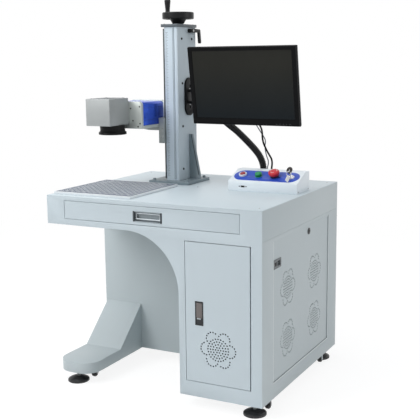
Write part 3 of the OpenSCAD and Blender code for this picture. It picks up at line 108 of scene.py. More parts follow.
floor_paint = bpy.data.materials.new("floor_white")
tree = tree_of(floor_paint)
ray = add(tree, "LightPath")
seen = add(tree, "Math", {"operation": "MAXIMUM", 0: 0.0}, n0=ray.outputs["Is Camera Ray"],
    n1=ray.outputs["Is Glossy Ray"])
place = add(tree, "TexCoord").outputs["Object"]
reach = add(tree, "VectorMath", {"operation": "LENGTH"}, n0=place).outputs["Value"]
far = add(tree, "MapRange", {"From Min": 0.9, "From Max": 3.4}, Value=reach).outputs[0]
dull = add(tree, "BsdfDiffuse", {"Color": (0.88, 0.88, 0.88, 1)})
near_white = add(tree, "Emission", {"Color": (1, 1, 1, 1), "Strength": 0.86})
shadow_grey = add(tree, "BsdfDiffuse", {"Color": (0.22, 0.22, 0.22, 1)})
near = add(tree, "AddShader", None, n0=near_white, n1=shadow_grey)
far_white = add(tree, "Emission", {"Color": (1, 1, 1, 1), "Strength": 1.0})
bright = add(tree, "MixShader", None, Fac=far, n1=near, n2=far_white)
mix = add(tree, "MixShader", None, Fac=seen, n1=dull, n2=bright)
add(tree, "OutputMaterial", None, Surface=mix)
floor_mesh = bpy.data.meshes.new("floor")
floor_signs = (-1, -1), (1, -1), (1, 1), (-1, 1)
floor_corners = [(a * floor_half, b * floor_half, -floor_drop) for a, b in floor_signs]
floor_mesh.from_pydata(floor_corners, [], [(0, 1, 2, 3)])
floor_mesh.materials.append(floor_paint)
floor = bpy.data.objects.new("floor", floor_mesh)
bpy.context.collection.objects.link(floor)

world = bpy.data.worlds.new("studio")
bpy.context.scene.world = world
world.use_nodes = True
tree = world.node_tree
tree.nodes.clear()
ray = add(tree, "LightPath")
seen = add(tree, "Math", {"operation": "MAXIMUM"}, n0=ray.outputs["Is Camera Ray"],
    n1=ray.outputs["Is Glossy Ray"])
seen = add(tree, "Math", {"operation": "MAXIMUM"}, n0=seen, n1=ray.outputs["Is Transmission Ray"])
fill = add(tree, "Background", {"Color": (0.95, 0.97, 1, 1), "Strength": 0.39})
white = add(tree, "Background", {"Color": (1, 1, 1, 1), "Strength": 1.0})
mix = add(tree, "MixShader", None, Fac=seen, n1=fill, n2=white)
add(tree, "OutputWorld", None, Surface=mix)
for name, place, target, size, watts in (
    ("lamp_front", (-2.2, -3.2, 3.2), (0, 0, 0.6), 2.4, 94),
    ("lamp_top", (-0.6, -0.4, 3.6), (0, 0, 0.8), 2.6, 48),
    ("lamp_side", (3.4, 0.6, 1.8), (0.3, 0, 0.6), 2.0, 22),
):
    lamp = bpy.data.objects.new(name, bpy.data.lights.new(name, "AREA"))
    lamp.data.size = size
    lamp.data.energy = watts
    lamp.location = place
    lamp.rotation_euler = (Vector(target) - Vector(place)).to_track_quat("-Z", "Y").to_euler()
    bpy.context.collection.objects.link(lamp)
bpy.context.scene.view_settings.view_transform = "Standard"

# Conduit and monitor leads
# A corrugated black conduit runs from the laser's isolator round the column to its gland in the table top.
# A thin grey lead and a thicker black one, of smooth plastic, run from their glands up into the monitor arm.
middle_x, middle_y = 425, 364


def corner(x, y, z):
    """A point in millimetres from the desk's front left corner on the floor, in the model's frame."""
    return Vector(((x - middle_x) / 1000, (y - middle_y) / 1000, z / 1000))


def colour(r, g, b):
    """A screen colour, 0 to 255, as the linear colour that shaders take."""
    return tuple(c / 255 / 12.92 if c <= 10 else ((c / 255 + 0.055) / 1.055) ** 2.4 for c in (r, g, b)) + (1,)


def linked(name, data):
    """An object at the origin with the given data."""
    made = bpy.data.objects.new(name, data)
    bpy.context.collection.objects.link(made)
    return made


def mesh_of(name, verts, faces=()):
    mesh = bpy.data.meshes.new(name)
    mesh.from_pydata([tuple(v) for v in verts], [], faces)
    return mesh


def joined(*forms):
    verts, faces = [], []
    for more, sheets in forms:
        first = len(verts)
        verts += more
        faces += [tuple(first + i for i in face) for face in sheets]
    return verts, faces


def piece(name, form, material, node=None, body=None, smooth=30):
    """A form, or a list of forms, as an object that rides on a body or takes the place of a node."""
    form = joined(*form) if isinstance(form, list) else form
    return settle(linked(name, mesh_of(name, *form)), material, node, body, smooth)


def settle(made, material, node=None, body=None, smooth=30):
    """Gives a piece its material, its shading angle in degrees, and the node or body that it belongs to."""
    mesh = made.data
    if material is not None:
        mesh.materials.clear()
        mesh.materials.append(material)
    mesh.polygons.foreach_set("use_smooth", [smooth > 0] * len(mesh.polygons))
    if smooth > 0:
        mesh.set_sharp_from_angle(angle=math.radians(smooth))
    mesh.update()
    if node:
        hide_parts(node)
        body = body or body_of[node]
    if body:
        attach(made, body)
    return made


def surface(name, shade, rough, metal=0.0, mottle=(0.04, 7.0), grain=0.0, grain_scale=900.0, rough_vary=0.08,
    stretch=(1, 1, 1), coat=0.0, dust=0.0, specular=0.5):
    """A finish of one screen colour: slow mottling (amount, scale), uneven gloss, fine grain in its bump."""
    base, (uneven, mottle_scale) = colour(*shade), mottle
    material = bpy.data.materials.new(name)
    tree = tree_of(material)
    place = add(tree, "Mapping", {"Scale": stretch}, Vector=add(tree, "TexCoord").outputs["Object"])
    slow = add(tree, "TexNoise", {"Scale": mottle_scale, "Detail": 4.0, "Roughness": 0.6}, Vector=place)
    fine = add(tree, "TexNoise", {"Scale": grain_scale, "Detail": 2.0}, Vector=place)
    light = tuple(min(1, c * (1 + uneven) + uneven * 0.02) for c in base[:3]) + (1,)
    dark = tuple(c * (1 - uneven) for c in base[:3]) + (1,)
    tone = add(tree, "Mix", {"data_type": "RGBA", 6: dark, 7: light}, n0=slow.outputs["Fac"])
    out = tone.outputs[2]
    if dust > 0:
        spots = add(tree, "TexNoise", {"Scale": 23.0, "Detail": 6.0, "Roughness": 0.7}, Vector=place)
        part = add(tree, "MapRange", {"From Min": 0.52, "From Max": 0.78, "To Max": dust},
            Value=spots.outputs["Fac"])
        out = add(tree, "Mix", {"data_type": "RGBA", 7: (0.45, 0.44, 0.42, 1)}, n0=part, n6=out).outputs[2]
    gloss = add(tree, "MapRange", {"To Min": max(0.02, rough - rough_vary),
        "To Max": min(1, rough + rough_vary)}, Value=slow.outputs["Fac"])
    shader = add(tree, "BsdfPrincipled", {"Metallic": metal, "Coat Weight": coat, "Coat Roughness": 0.08,
        "Specular IOR Level": specular}, Base_Color=out, Roughness=gloss)
    if grain > 0:
        bump = add(tree, "Bump", {"Strength": grain, "Distance": 0.0002}, Height=fine.outputs["Fac"])
        tree.links.new(bump.outputs[0], shader.inputs["Normal"])
    add(tree, "OutputMaterial", None, Surface=shader)
    return material


conduit_route = [(150, 580, 983), (150, 596, 983), (150, 612, 983), (157, 637, 984), (173, 658, 985),
    (198, 673, 986), (228, 680, 987), (262, 676, 985), (300, 663, 981), (340, 644, 974), (380, 619, 964),
    (415, 593, 952), (445, 570, 939), (470, 558, 926), (498, 552, 909), (534, 549, 880), (561, 546, 857),
    (583, 543, 837), (602, 540, 815), (614, 537, 793), (619, 535, 774), (620, 535, 756), (620, 535, 740),
    (620, 535, 724)]
grey_lead_route = [(642, 520, 712), (642, 520, 745), (643, 520, 775), (646, 520, 789), (646, 519, 803),
    (641, 518, 817), (637, 517, 833), (634, 516, 853), (636, 515, 869), (636, 514, 881), (630, 513, 893),
    (622, 512, 905), (608, 508, 928), (594, 500, 955), (580, 486, 985), (572, 474, 1003), (570, 471, 1013),
    (570, 471, 1025)]
black_lead_route = [(660, 520, 712), (660, 520, 745), (660, 520, 772), (663, 517, 794), (661, 515, 810),
    (654, 512, 824), (645, 510, 840), (638, 508, 855), (632, 506, 871), (629, 504, 889), (629, 502, 906),
    (627, 500, 922), (621, 497, 937), (612, 490, 955), (602, 480, 980), (594, 470, 1002), (592, 467, 1013),
    (592, 467, 1025)]
conduit_radius, conduit_groove, conduit_ribs = 0.0134, 0.0020, 120
steps_in_rib, curve_steps, lead_steps = 4, 12, 120


def along(route, count):
    """Points at even distances on a smooth curve through a route."""
    p = [corner(*q) for q in route]
    last = len(p) - 1
    fine = []
    for k in range(last * curve_steps + 1):
        i = min(k // curve_steps, last - 1)
        t = k / curve_steps - i
        a, b, c, d = p[max(i - 1, 0)], p[i], p[i + 1], p[min(i + 2, last)]
        bend, twist = 2 * a - 5 * b + 4 * c - d, 3 * b - a - 3 * c + d
        fine.append(0.5 * (2 * b + t * (c - a) + t * t * bend + t ** 3 * twist))
    way = [0.0]
    for a, b in zip(fine, fine[1:]):
        way.append(way[-1] + (b - a).length)
    points, i = [], 0
    for k in range(count + 1):
        s = way[-1] * k / count
        while i < len(way) - 2 and way[i + 1] < s:
            i += 1
        points.append(fine[i].lerp(fine[i + 1], (s - way[i]) / (way[i + 1] - way[i])))
    return points


def swept(name, points, radii, sides, material):
    """A closed tube whose radius changes from ring to ring."""
    verts, faces = [], []
    side = Vector((0, 0.02, 1)) if abs((points[1] - points[0]).z) < 0.01 else Vector((0, 1, 0.02))
    for i, point in enumerate(points):
        ahead = (points[min(i + 1, len(points) - 1)] - points[max(i - 1, 0)]).normalized()
        side = (side - side.dot(ahead) * ahead).normalized()
        other = ahead.cross(side)
        for k in range(sides):
            a = 2 * math.pi * k / sides
            verts.append(point + radii[i] * (math.cos(a) * side + math.sin(a) * other))
    for i in range(len(points) - 1):
        for k in range(sides):
            m = (k + 1) % sides
            faces.append((i * sides + k, i * sides + m, (i + 1) * sides + m, (i + 1) * sides + k))
    faces.append(tuple(range(sides - 1, -1, -1)))
    faces.append(tuple((len(points) - 1) * sides + k for k in range(sides)))
    return piece(name, (verts, faces), material, smooth=60)


conduit_black = surface("conduit_black", (12, 13, 15), 0.45, mottle=(0.2, 30), grain=0.2, dust=0.04,
    specular=0.22)
lead_black = surface("lead_black", (7, 7, 8), 0.5, mottle=(0.15, 40), grain=0.2, specular=0.12)
lead_grey = surface("lead_grey", (105, 110, 118), 0.5, mottle=(0.1, 40), grain=0.2)
rings = steps_in_rib * conduit_ribs
line = along(conduit_route, rings)
depth = [0.0, 0.0, conduit_groove, conduit_groove]
radii = [conduit_radius - depth[i % steps_in_rib] for i in range(rings + 1)]
conduit = swept("conduit_corrugated", line, radii, 24, conduit_black)
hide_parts("conduit")
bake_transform(conduit, "desk", "head", start=corner(505, 575, 960), end=corner(190, 620, 980))
for name, route, radius, material in (
    ("lead_grey", grey_lead_route, 0.0020, lead_grey),
    ("lead_black", black_lead_route, 0.0034, lead_black),
):
    line = along(route, lead_steps)
    lead = swept(name, line, [radius] * (lead_steps + 1), 12, material)
    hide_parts("monitor_leads")
    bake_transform(lead, "desk", "arm", start=corner(650, 520, 760), end=corner(590, 480, 1000))

# Cable glands and screws
# Black moulded glands with hexagon nuts hold the conduit and the leads in the table top.
# Small steel screws hold the top: one form set in many places, each turned its own way.


def turned(profile, place=(0, 0, 0), axis=(0, 0, 1), sides=32, loop=False):
    """A form turned on a lathe, from pairs of radius and height in millimetres; a loop closes its section."""
    ahead = Vector(axis).normalized()
    side = ahead.orthogonal().normalized()
    other = ahead.cross(side)
    verts, faces, rings = [], [], []
    for radius, height in [(r / 1000, h / 1000) for r, h in profile]:
        centre = Vector(place) + ahead * height
        count = sides if radius > 0 else 1
        rings.append([len(verts) + k for k in range(count)])
        verts += [centre + radius * (math.cos(a) * side + math.sin(a) * other)
                  for a in [2 * math.pi * k / sides for k in range(count)]]
    for low, high in zip(rings, rings[1:] + (rings[:1] if loop else [])):
        for k in range(sides):
            m = (k + 1) % sides
            if len(low) == 1 and len(high) > 1:
                faces.append((low[0], high[m], high[k]))
            elif len(high) == 1 and len(low) > 1:
                faces.append((low[k], low[m], high[0]))
            elif len(low) > 1:
                faces.append((low[k], low[m], high[m], high[k]))
    if not loop and len(rings[0]) > 1:
        faces.append(tuple(reversed(rings[0])))
    if not loop and len(rings[-1]) > 1:
        faces.append(tuple(rings[-1]))
    return verts, faces


def screw_head(radius, height, drive="cross"):
    """A twelve-sided head with a recess for a cross or a hexagon driver; its sizes are in millimetres."""
    radius, height = radius / 1000, height / 1000
    recess = {"cross": (0.58, 0.2, 0.2), "hexagon": (0.56, 0.49)}[drive]
    verts, faces = [], []
    rings = ((1,), 0), ((1,), height * 0.6), ((0.84,), height), (recess, height), (recess, height * 0.3)
    for shares, z in rings:
        for k in range(12):
            r, a = radius * shares[k % len(shares)], math.pi * k / 6
            verts.append(Vector((r * math.cos(a), r * math.sin(a), z)))
    for ring in range(4):
        for k in range(12):
            m = (k + 1) % 12
            faces.append((12 * ring + k, 12 * ring + m, 12 * ring + 12 + m, 12 * ring + 12 + k))
    faces += [tuple(range(11, -1, -1)), tuple(range(48, 60))]
    return verts, faces


def group(name, *inputs):
    """A geometry tree with a geometry input and named inputs, each given as name, socket type and value."""
    tree = bpy.data.node_groups.new(name, "GeometryNodeTree")
    tree.interface.new_socket("Geometry", in_out="INPUT", socket_type="NodeSocketGeometry")
    for title, kind, value in inputs:
        socket = tree.interface.new_socket(title, in_out="INPUT", socket_type="NodeSocket" + kind)
        if value is not None:
            socket.default_value = value
    tree.interface.new_socket("Geometry", in_out="OUTPUT", socket_type="NodeSocketGeometry")
    return tree, tree.nodes.new("NodeGroupInput"), tree.nodes.new("NodeGroupOutput")


def applied(made):
    """The object with what its modifiers make as its own mesh."""
    bpy.context.view_layer.update()
    result = bpy.data.meshes.new_from_object(made.evaluated_get(bpy.context.evaluated_depsgraph_get()))
    made.modifiers.clear()
    made.data = result
    return made


def grown(name, start, tree, values):
    """The mesh that a tree makes from a starting mesh, as a plain mesh object."""
    made = linked(name, start)
    growth = made.modifiers.new("growth", "NODES")
    growth.node_group = tree
    for item in tree.interface.items_tree:
        if item.in_out == "INPUT" and item.name in values:
            growth[item.identifier] = values[item.name]
    return applied(made)


set_out, given, made_out = group("set_out_in_places", ("Form", "Object", None), ("Seed", "Int", 5),
    ("Turn", "Float", 0.0), ("Material", "Material", None))
form = add(set_out, "ObjectInfo", {"transform_space": "ORIGINAL"}, Object=given.outputs["Form"])
aim = add(set_out, "InputNamedAttribute", {"data_type": "FLOAT_VECTOR", "Name": "aim"})
stand = add(set_out, "FunctionNodeAlignRotationToVector", {"axis": "Z"}, Vector=aim.outputs["Attribute"])
turn = add(set_out, "FunctionNodeRandomValue", {"data_type": "FLOAT", 2: 0.0}, n3=given.outputs["Turn"],
    Seed=given.outputs["Seed"])
spin = add(set_out, "ShaderNodeCombineXYZ", None, Z=turn.outputs[1])
spin = add(set_out, "FunctionNodeEulerToRotation", None, Euler=spin)
pose = add(set_out, "FunctionNodeRotateRotation", {"rotation_space": "LOCAL"}, Rotation=stand, Rotate_By=spin)
put = add(set_out, "InstanceOnPoints", None, Points=given.outputs["Geometry"],
    Instance=form.outputs["Geometry"], Rotation=pose)
real = add(set_out, "RealizeInstances", None, Geometry=put)
last = add(set_out, "SetMaterial", None, Geometry=real, Material=given.outputs["Material"])
set_out.links.new(last.outputs[0], made_out.inputs[0])


def set_in_places(name, form, places, material, body, turn=0.0, smooth=30):
    """Copies of one small form; each place is a point and the direction in which the form stands up."""
    start = mesh_of(name, [place for place, aim in places])
    aims = start.attributes.new("aim", "FLOAT_VECTOR", "POINT")
    aims.data.foreach_set("vector", [c for place, aim in places for c in aim])
    pattern = linked("pattern", mesh_of("pattern", *form))
    made = grown(name, start, set_out, {"Form": pattern, "Seed": 5, "Turn": turn, "Material": material})
    bpy.data.objects.remove(pattern)
    for extra in [a for a in made.data.attributes if a.name == "aim"]:
        made.data.attributes.remove(extra)
    return settle(made, material, None, body, smooth)


def screws(name, radius, height, places, material, body="desk", drive="cross"):
    """Screw heads, each turned its own way."""
    turn = {"cross": 1.5, "hexagon": 1.0}[drive]
    set_in_places(name, screw_head(radius, height, drive), places, material, body, turn)


up, frontward, leftward, rightward, rearward = (0, 0, 1), (0, -1, 0), (-1, 0, 0), (1, 0, 0), (0, 1, 0)
gland_black = surface("gland_black", (20, 21, 23), 0.42, mottle=(0.12, 40), grain=0.25, specular=0.25)
screw_steel = surface("screw_steel", (176, 178, 180), 0.28, metal=1.0, mottle=(0.1, 90), rough_vary=0.1)
desk_height = 706
glands = []
for x, y, nut, height, bore in ((620, 535, 17, 18, 13), (642, 520, 5.5, 6.2, 2), (660, 520, 5.5, 6.2, 3.4)):
    place = corner(x, y, desk_height)
    glands.append(turned([(nut, 0), (nut, height * 0.33), (nut * 0.93, height * 0.38),
        (nut * 0.6, height * 0.38)], place, up, 6))
    glands.append(turned([(nut * 0.84, height * 0.36), (nut * 0.86, height * 0.44), (nut * 0.8, height * 0.5),
        (nut * 0.86, height * 0.56), (nut * 0.8, height * 0.62), (nut * 0.86, height * 0.68),
        (nut * 0.8, height * 0.78), (bore, height)], place, up, 32))
piece("gland_nuts", glands, gland_black, "cable_glands")
top_screws = [(corner(x, y, desk_height), up) for x, y in ((415, 384), (822, 43), (822, 685), (28, 685))]
screws("table_top_screws", 3, 1, top_screws, screw_steel)

# Sheet steel of the desk
# Table top, fascia, drawer box, cabinet, modesty panel and leg are folded, welded and powder-coated steel.
# Each is the solid's own form with its folds rounded to the radius that a press brake leaves.
fold_radius = 0.0010


def merged(node):
    """A node's mesh with its loose triangles joined and its flat faces made whole."""
    shape = bmesh.new()
    shape.from_mesh(nodes[node].data)
    bmesh.ops.remove_doubles(shape, verts=shape.verts, dist=1e-6)
    bmesh.ops.dissolve_limit(shape, angle_limit=math.radians(0.5), verts=shape.verts, edges=shape.edges)
    return shape


def finished(node, material, radius=fold_radius, steps=2, angle=40, smooth=30):
    """The node's own form with its edges rounded, in the node's place."""
    shape = merged(node)
    mesh = bpy.data.meshes.new(node + "_finish")
    shape.to_mesh(mesh)
    shape.free()
    made = linked(node + "_finish", mesh)
    if radius > 0:
        rounding = made.modifiers.new("rounding", "BEVEL")
        rounding.width = radius
        rounding.segments = steps
        rounding.limit_method = "ANGLE"
        rounding.angle_limit = math.radians(angle)
        rounding.use_clamp_overlap = True
        rounding.harden_normals = False
        applied(made)
    return settle(made, material, node, None, smooth)


def spots(x, y, z, aim):
    """Places at every mix of the given millimetres, all with one aim."""
    x, y, z = [v if isinstance(v, tuple) else (v,) for v in (x, y, z)]
    return [(corner(a, b, c), aim) for a in x for b in y for c in z]


desk_paint = surface("desk_paint", (200, 212, 218), 0.4, mottle=(0.018, 4), grain=0.14, grain_scale=700,
    dust=0.03)
# The second paint is a darker copy of the same desk paint: painted shade for the cabinet, rear panel, modesty
# panel, leg, drawer tray and side panel, whose faces turn away from the lamps or lie under the top.
shaded_desk_paint = surface("shaded_desk_paint", (188, 198, 201), 0.45, mottle=(0.02, 4), grain=0.14, grain_scale=700,
    dust=0.04)
for node in ("desk_top", "desk_fascia", "drawer_front"):
    finished(node, desk_paint)
for node in ("upper_frame", "cabinet_frame", "rear_panel", "modesty_panel", "left_leg", "drawer_tray"):
    finished(node, shaded_desk_paint)
rear_screws = spots((551, 695, 840), 728, (58, 320, 588), rearward)
screws("rear_panel_screws", 3.6, 1.4, rear_screws, screw_steel)
modesty_screws = spots((180, 350, 520), 357, 585, frontward)
screws("modesty_panel_screws", 3.6, 1.4, modesty_screws, screw_steel)

# Drawer handle, runners and cam lock
# The cup is pressed from bright sheet with dark moulded ends, and a folding bail of steel rod hangs in it.
# Runners, hinge pins and the cam lock are zinc-plated.


def shift(x, y=0, z=0):
    """A frame moved by metres, or by a vector."""
    return Matrix.Translation((x, y, z) if isinstance(x, (int, float)) else x)


def block(low, high, edge=0.0004, steps=2):
    """A box with rounded edges between two corners."""
    low, high = Vector(low), Vector(high)
    shape = bmesh.new()
    bmesh.ops.create_cube(shape, size=1)
    bmesh.ops.scale(shape, vec=high - low, verts=shape.verts)
    bmesh.ops.translate(shape, vec=(low + high) / 2, verts=shape.verts)
    if edge > 0:
        bmesh.ops.bevel(shape, geom=shape.edges[:], offset=edge, segments=steps, profile=0.5, affect="EDGES")
    shape.verts.index_update()
    form = [v.co.copy() for v in shape.verts], [tuple(v.index for v in f.verts) for f in shape.faces]
    shape.free()
    return form


def moved(form, matrix):
    return [matrix @ Vector(v) for v in form[0]], form[1]


def ends_of(node):
    """The low and the high corner of a node's box."""
    return [Vector(c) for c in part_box(node)]


cup_steel = surface("cup_steel", (158, 168, 173), 0.42, metal=0.15, mottle=(0.05, 14), grain=0.2,
    grain_scale=200, stretch=(0.08, 1, 1))
bail_steel = surface("bail_steel", (176, 183, 187), 0.32, metal=0.5, mottle=(0.05, 30), rough_vary=0.06)
zinc = surface("zinc_plate", (170, 172, 172), 0.4, metal=1.0, mottle=(0.12, 60), rough_vary=0.12)
lock_dark = surface("lock_dark", (66, 70, 70), 0.34, metal=0.8, mottle=(0.1, 50))
screw_black = surface("screw_black", (22, 23, 25), 0.4, metal=0.4, mottle=(0.12, 60), specular=0.3)
moulding_dark = surface("moulding_dark", (62, 68, 72), 0.42, mottle=(0.08, 40), grain=0.2, specular=0.3)
finished("handle_cup", cup_steel, radius=0.0005)
bail = finished("drawer_handle", bail_steel, radius=0.0008, steps=3)
bail_low, bail_high = ends_of("drawer_handle")
bail_middle, bail_share = (bail_low.x + bail_high.x) / 2, 0.9
bail.data.transform(shift(bail_middle) @ Matrix.Scale(bail_share, 4, (1, 0, 0)) @ shift(-bail_middle))
finished("drawer_rails", zinc, radius=0.0004)
finished("door_hinges", zinc, radius=0.0004)
cup_low, cup_high = ends_of("handle_cup")
end_width, end_proud, end_sunk, end_play = 0.0062, 0.0011, 0.0012, 0.0003
ends = [block((x, cup_low.y - end_proud, cup_low.z + end_play),
              (x + end_width, cup_low.y + end_sunk, cup_high.z - end_play), 0.0005)
        for x in (cup_low.x, cup_high.x - end_width)]
piece("cup_ends", ends, moulding_dark, body="drawer")
lip_tall, lip_proud, lip_sunk = 0.0028, 0.0008, 0.0004
lips = [block((cup_low.x + end_width, cup_low.y - lip_proud, z),
              (cup_high.x - end_width, cup_low.y + lip_sunk, z + lip_tall), 0.0003)
        for z in (cup_low.z, cup_high.z - lip_tall)]
piece("cup_lips", lips, cup_steel, body="drawer")
finished("side_lock", lock_dark, radius=0.0004)
lock_y, lock_z = 0.0618, 0.564
lock_centre = Vector((corner(849, 0, 0).x, lock_y, lock_z))
slot = moved(block((-0.0004, -0.0006, -0.0042), (0.0003, 0.0006, 0.0042), 0), shift(lock_centre))
lock_rim = turned([(5.5, 0), (5.5, 0.4), (4.2, 0.9), (4.2, 0.2)], lock_centre, rightward, 24)
piece("lock_slot", [slot, lock_rim], screw_black, body="side_lock")

# Door latch
# A black moulded frame, snapped into the door, holds a grey-brown enamelled lever.
# A bright steel bar lies across the lever, over a black thumb rest.
latch_black = surface("latch_black", (52, 54, 56), 0.46, mottle=(0.1, 30), grain=0.3, specular=0.3)
latch_brown = surface("latch_lever_enamel", (112, 106, 104), 0.38, mottle=(0.06, 30), grain=0.2)
finished("latch_frame", latch_black, radius=0.0006)
(left, front, foot), (right, back, top) = ends_of("latch_lever")
rest_top, bar_top, face_back = foot + 0.0165, foot + 0.0215, front + 0.0046
lever = block((left, front + 0.0002, bar_top + 0.0004), (right, face_back, top - 0.0014), 0.0009)
rest = block((left, front + 0.0010, foot), (right, face_back, rest_top), 0.0009)
spine = block((left + 0.004, front + 0.0030, foot + 0.004), (right - 0.004, back, top - 0.002), 0.0008)
bar_low = left + 0.0024, front - 0.0002, rest_top + 0.0004
bar = block(bar_low, (right - 0.0044, front + 0.004, bar_top), 0.0007)
piece("latch_lever_plate", lever, latch_brown, "latch_lever")
piece("latch_thumb_rest", [rest, spine], latch_black, "latch_lever")
piece("latch_bar", bar, bail_steel, "latch_lever")

# Cabinet door and side panel
# Both are folded trays of powder-coated sheet with flower-shaped fields of punched vent holes.
# The door swings on pins. The side panel lifts out of a lipped opening, with a rubber seal along its top.
vent_hole, vent_rings, ring_step, hole_gap = 0.0029, 4, 0.0096, 2.3
sheet = 0.002
petals, petal_out, petal_radius, petal_holes, petal_turn = 6, 0.0430, 0.0222, 10, math.radians(226)


def flower_places():
    """Centres of the holes of one vent: rings round its middle and six petals outside them."""
    places = [(0, 0)]
    for ring in range(1, vent_rings + 1):
        for i in range(6 * ring):
            a = 2 * math.pi * i / (6 * ring)
            places.append((ring * ring_step * math.cos(a), ring * ring_step * math.sin(a)))
    for petal in range(petals):
        b = 2 * math.pi * petal / petals
        for i in range(petal_holes):
            a = b + petal_turn * (i / (petal_holes - 1) - 0.5)
            x = petal_out * math.cos(b) + petal_radius * math.cos(a)
            y = petal_out * math.sin(b) + petal_radius * math.sin(a)
            if all(math.hypot(x - u, y - v) > hole_gap * vent_hole for u, v in places):
                places.append((x, y))
    return places


perforate, given, made_out = group("perforated_sheet", ("Width", "Float", 0.2), ("Height", "Float", 0.4),
    ("Hole Radius", "Float", 0.002), ("Thickness", "Float", 0.002), ("Sides", "Int", 10),
    ("Material", "Material", None))
hole = add(perforate, "CurvePrimitiveCircle", None, Resolution=given.outputs["Sides"],
    Radius=given.outputs["Hole Radius"])
holes = add(perforate, "InstanceOnPoints", None, Points=given.outputs["Geometry"],
    Instance=hole.outputs["Curve"])
holes = add(perforate, "RealizeInstances", None, Geometry=holes)
edge = add(perforate, "CurvePrimitiveQuadrilateral", None, Width=given.outputs["Width"],
    Height=given.outputs["Height"])
curves = add(perforate, "JoinGeometry")
perforate.links.new(holes.outputs[0], curves.inputs[0])
perforate.links.new(edge.outputs[0], curves.inputs[0])
flat = add(perforate, "FillCurve", None, Curve=curves)
raised = add(perforate, "ExtrudeMesh", {"Individual": False}, Mesh=flat,
    Offset_Scale=given.outputs["Thickness"])
back = add(perforate, "FlipFaces", None, Mesh=flat)
whole = add(perforate, "JoinGeometry")
perforate.links.new(raised.outputs[0], whole.inputs[0])
perforate.links.new(back.outputs[0], whole.inputs[0])
whole = add(perforate, "MergeByDistance", {"Distance": 0.00001}, Geometry=whole)
whole = add(perforate, "SetMaterial", None, Geometry=whole, Material=given.outputs["Material"])
perforate.links.new(whole.outputs[0], made_out.inputs[0])


def folded_rim(low, high, axis, depth, thick):
    """Boxes that form the folded edge behind a sheet; axis is the sheet's normal."""
    u, v = [i for i in range(3) if i != axis]
    verts, faces = [], []
    for along_edge, at_low in ((u, True), (u, False), (v, True), (v, False)):
        a, b = list(low), list(high)
        a[axis], b[axis] = depth
        if at_low:
            b[along_edge] = low[along_edge] + thick
        else:
            a[along_edge] = high[along_edge] - thick
        n = len(verts)
        verts += [(x, y, z) for x in (a[0], b[0]) for y in (a[1], b[1]) for z in (a[2], b[2])]
        faces += [tuple(n + i for i in f) for f in (
            (0, 1, 3, 2), (4, 6, 7, 5), (0, 4, 5, 1), (2, 3, 7, 6), (0, 2, 6, 4), (1, 5, 7, 3))]
    return verts, faces


def vented(name, node, axis, front, vents, cutouts, material, hole):
    """A sheet with vents in a node's place. Its holes are points in the plane of the sheet."""
    low, high = ends_of(node)
    u, v = [i for i in range(3) if i != axis]
    middle = [(low[u] + high[u]) / 2, (low[v] + high[v]) / 2]
    places = [(cu + x - middle[0], cv + y - middle[1], 0) for cu, cv in vents for x, y in flower_places()]
    made = grown(name, mesh_of(name, places), perforate, {"Width": high[u] - low[u],
        "Height": high[v] - low[v], "Hole Radius": hole, "Thickness": sheet, "Sides": 10,
        "Material": material})
    for vertex in made.data.vertices:
        x, y, z = vertex.co
        point = [0, 0, 0]
        point[u], point[v] = x + middle[0], y + middle[1]
        point[axis] = front + (sheet - z if axis == 1 else z)
        vertex.co = point
    for cut in cutouts:
        cut_out(made, *cut)
    fold = front + sheet / 2
    rim_depth = (low[axis], fold) if axis == 0 else (fold, high[axis])
    verts, faces = folded_rim(low, high, axis, rim_depth, sheet)
    shape = bmesh.new()
    shape.from_mesh(made.data)
    added = [shape.verts.new(p) for p in verts]
    for f in faces:
        shape.faces.new([added[i] for i in f])
    bmesh.ops.recalc_face_normals(shape, faces=shape.faces)
    shape.to_mesh(made.data)
    shape.free()
    return settle(made, material, node, None, 30)


def cut_out(made, low, high, radius=0):
    """Cuts a box, or a bore along X, out of a piece."""
    shape = bmesh.new()
    if radius:
        bmesh.ops.create_cone(shape, cap_ends=True, segments=40, radius1=radius, radius2=radius,
            depth=high[0] - low[0])
        quarter = Matrix.Rotation(math.pi / 2, 3, "Y")
        bmesh.ops.rotate(shape, cent=(0, 0, 0), matrix=quarter, verts=shape.verts)
    else:
        bmesh.ops.create_cube(shape, size=1)
        bmesh.ops.scale(shape, vec=Vector(high) - Vector(low), verts=shape.verts)
    bmesh.ops.translate(shape, vec=(Vector(low) + Vector(high)) / 2, verts=shape.verts)
    mesh = bpy.data.meshes.new("cutter")
    shape.to_mesh(mesh)
    shape.free()
    cutter = linked("cutter", mesh)
    cut = made.modifiers.new("cut", "BOOLEAN")
    cut.operation, cut.object, cut.solver = "DIFFERENCE", cutter, "EXACT"
    applied(made)
    bpy.data.objects.remove(cutter)


latch_low, latch_high = corner(606, -3, 300), corner(633, 3, 380)
vented("door_vented", "cabinet_door", 1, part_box("cabinet_door")[0][1], [(corner(689.5, 0, 221).x, 0.221)],
    [(latch_low, latch_high)], desk_paint, vent_hole)
panel_x, lock_hole, cut_in, cut_out_to, inlet_lip = corner(845, 0, 0).x, 0.0098, 0.004, 0.006, 0.002
vents = [(corner(0, y, 0).y, z / 1000) for y in (228, 488) for z in (220, 402)]
inlet_low, inlet_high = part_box("power_inlet")
lock_bore = (panel_x - cut_in, lock_y, lock_z), (panel_x + cut_out_to, lock_y, lock_z), lock_hole
inlet_cut = ((panel_x - cut_in, inlet_low[1] + inlet_lip, inlet_low[2] + inlet_lip),
             (panel_x + cut_out_to, inlet_high[1] - inlet_lip, inlet_high[2] - inlet_lip))
# The side panel takes the darker copy of the desk paint: painted shade.
vented("side_panel_vented", "side_panel", 0, panel_x, vents, [lock_bore, inlet_cut], shaded_desk_paint, vent_hole)

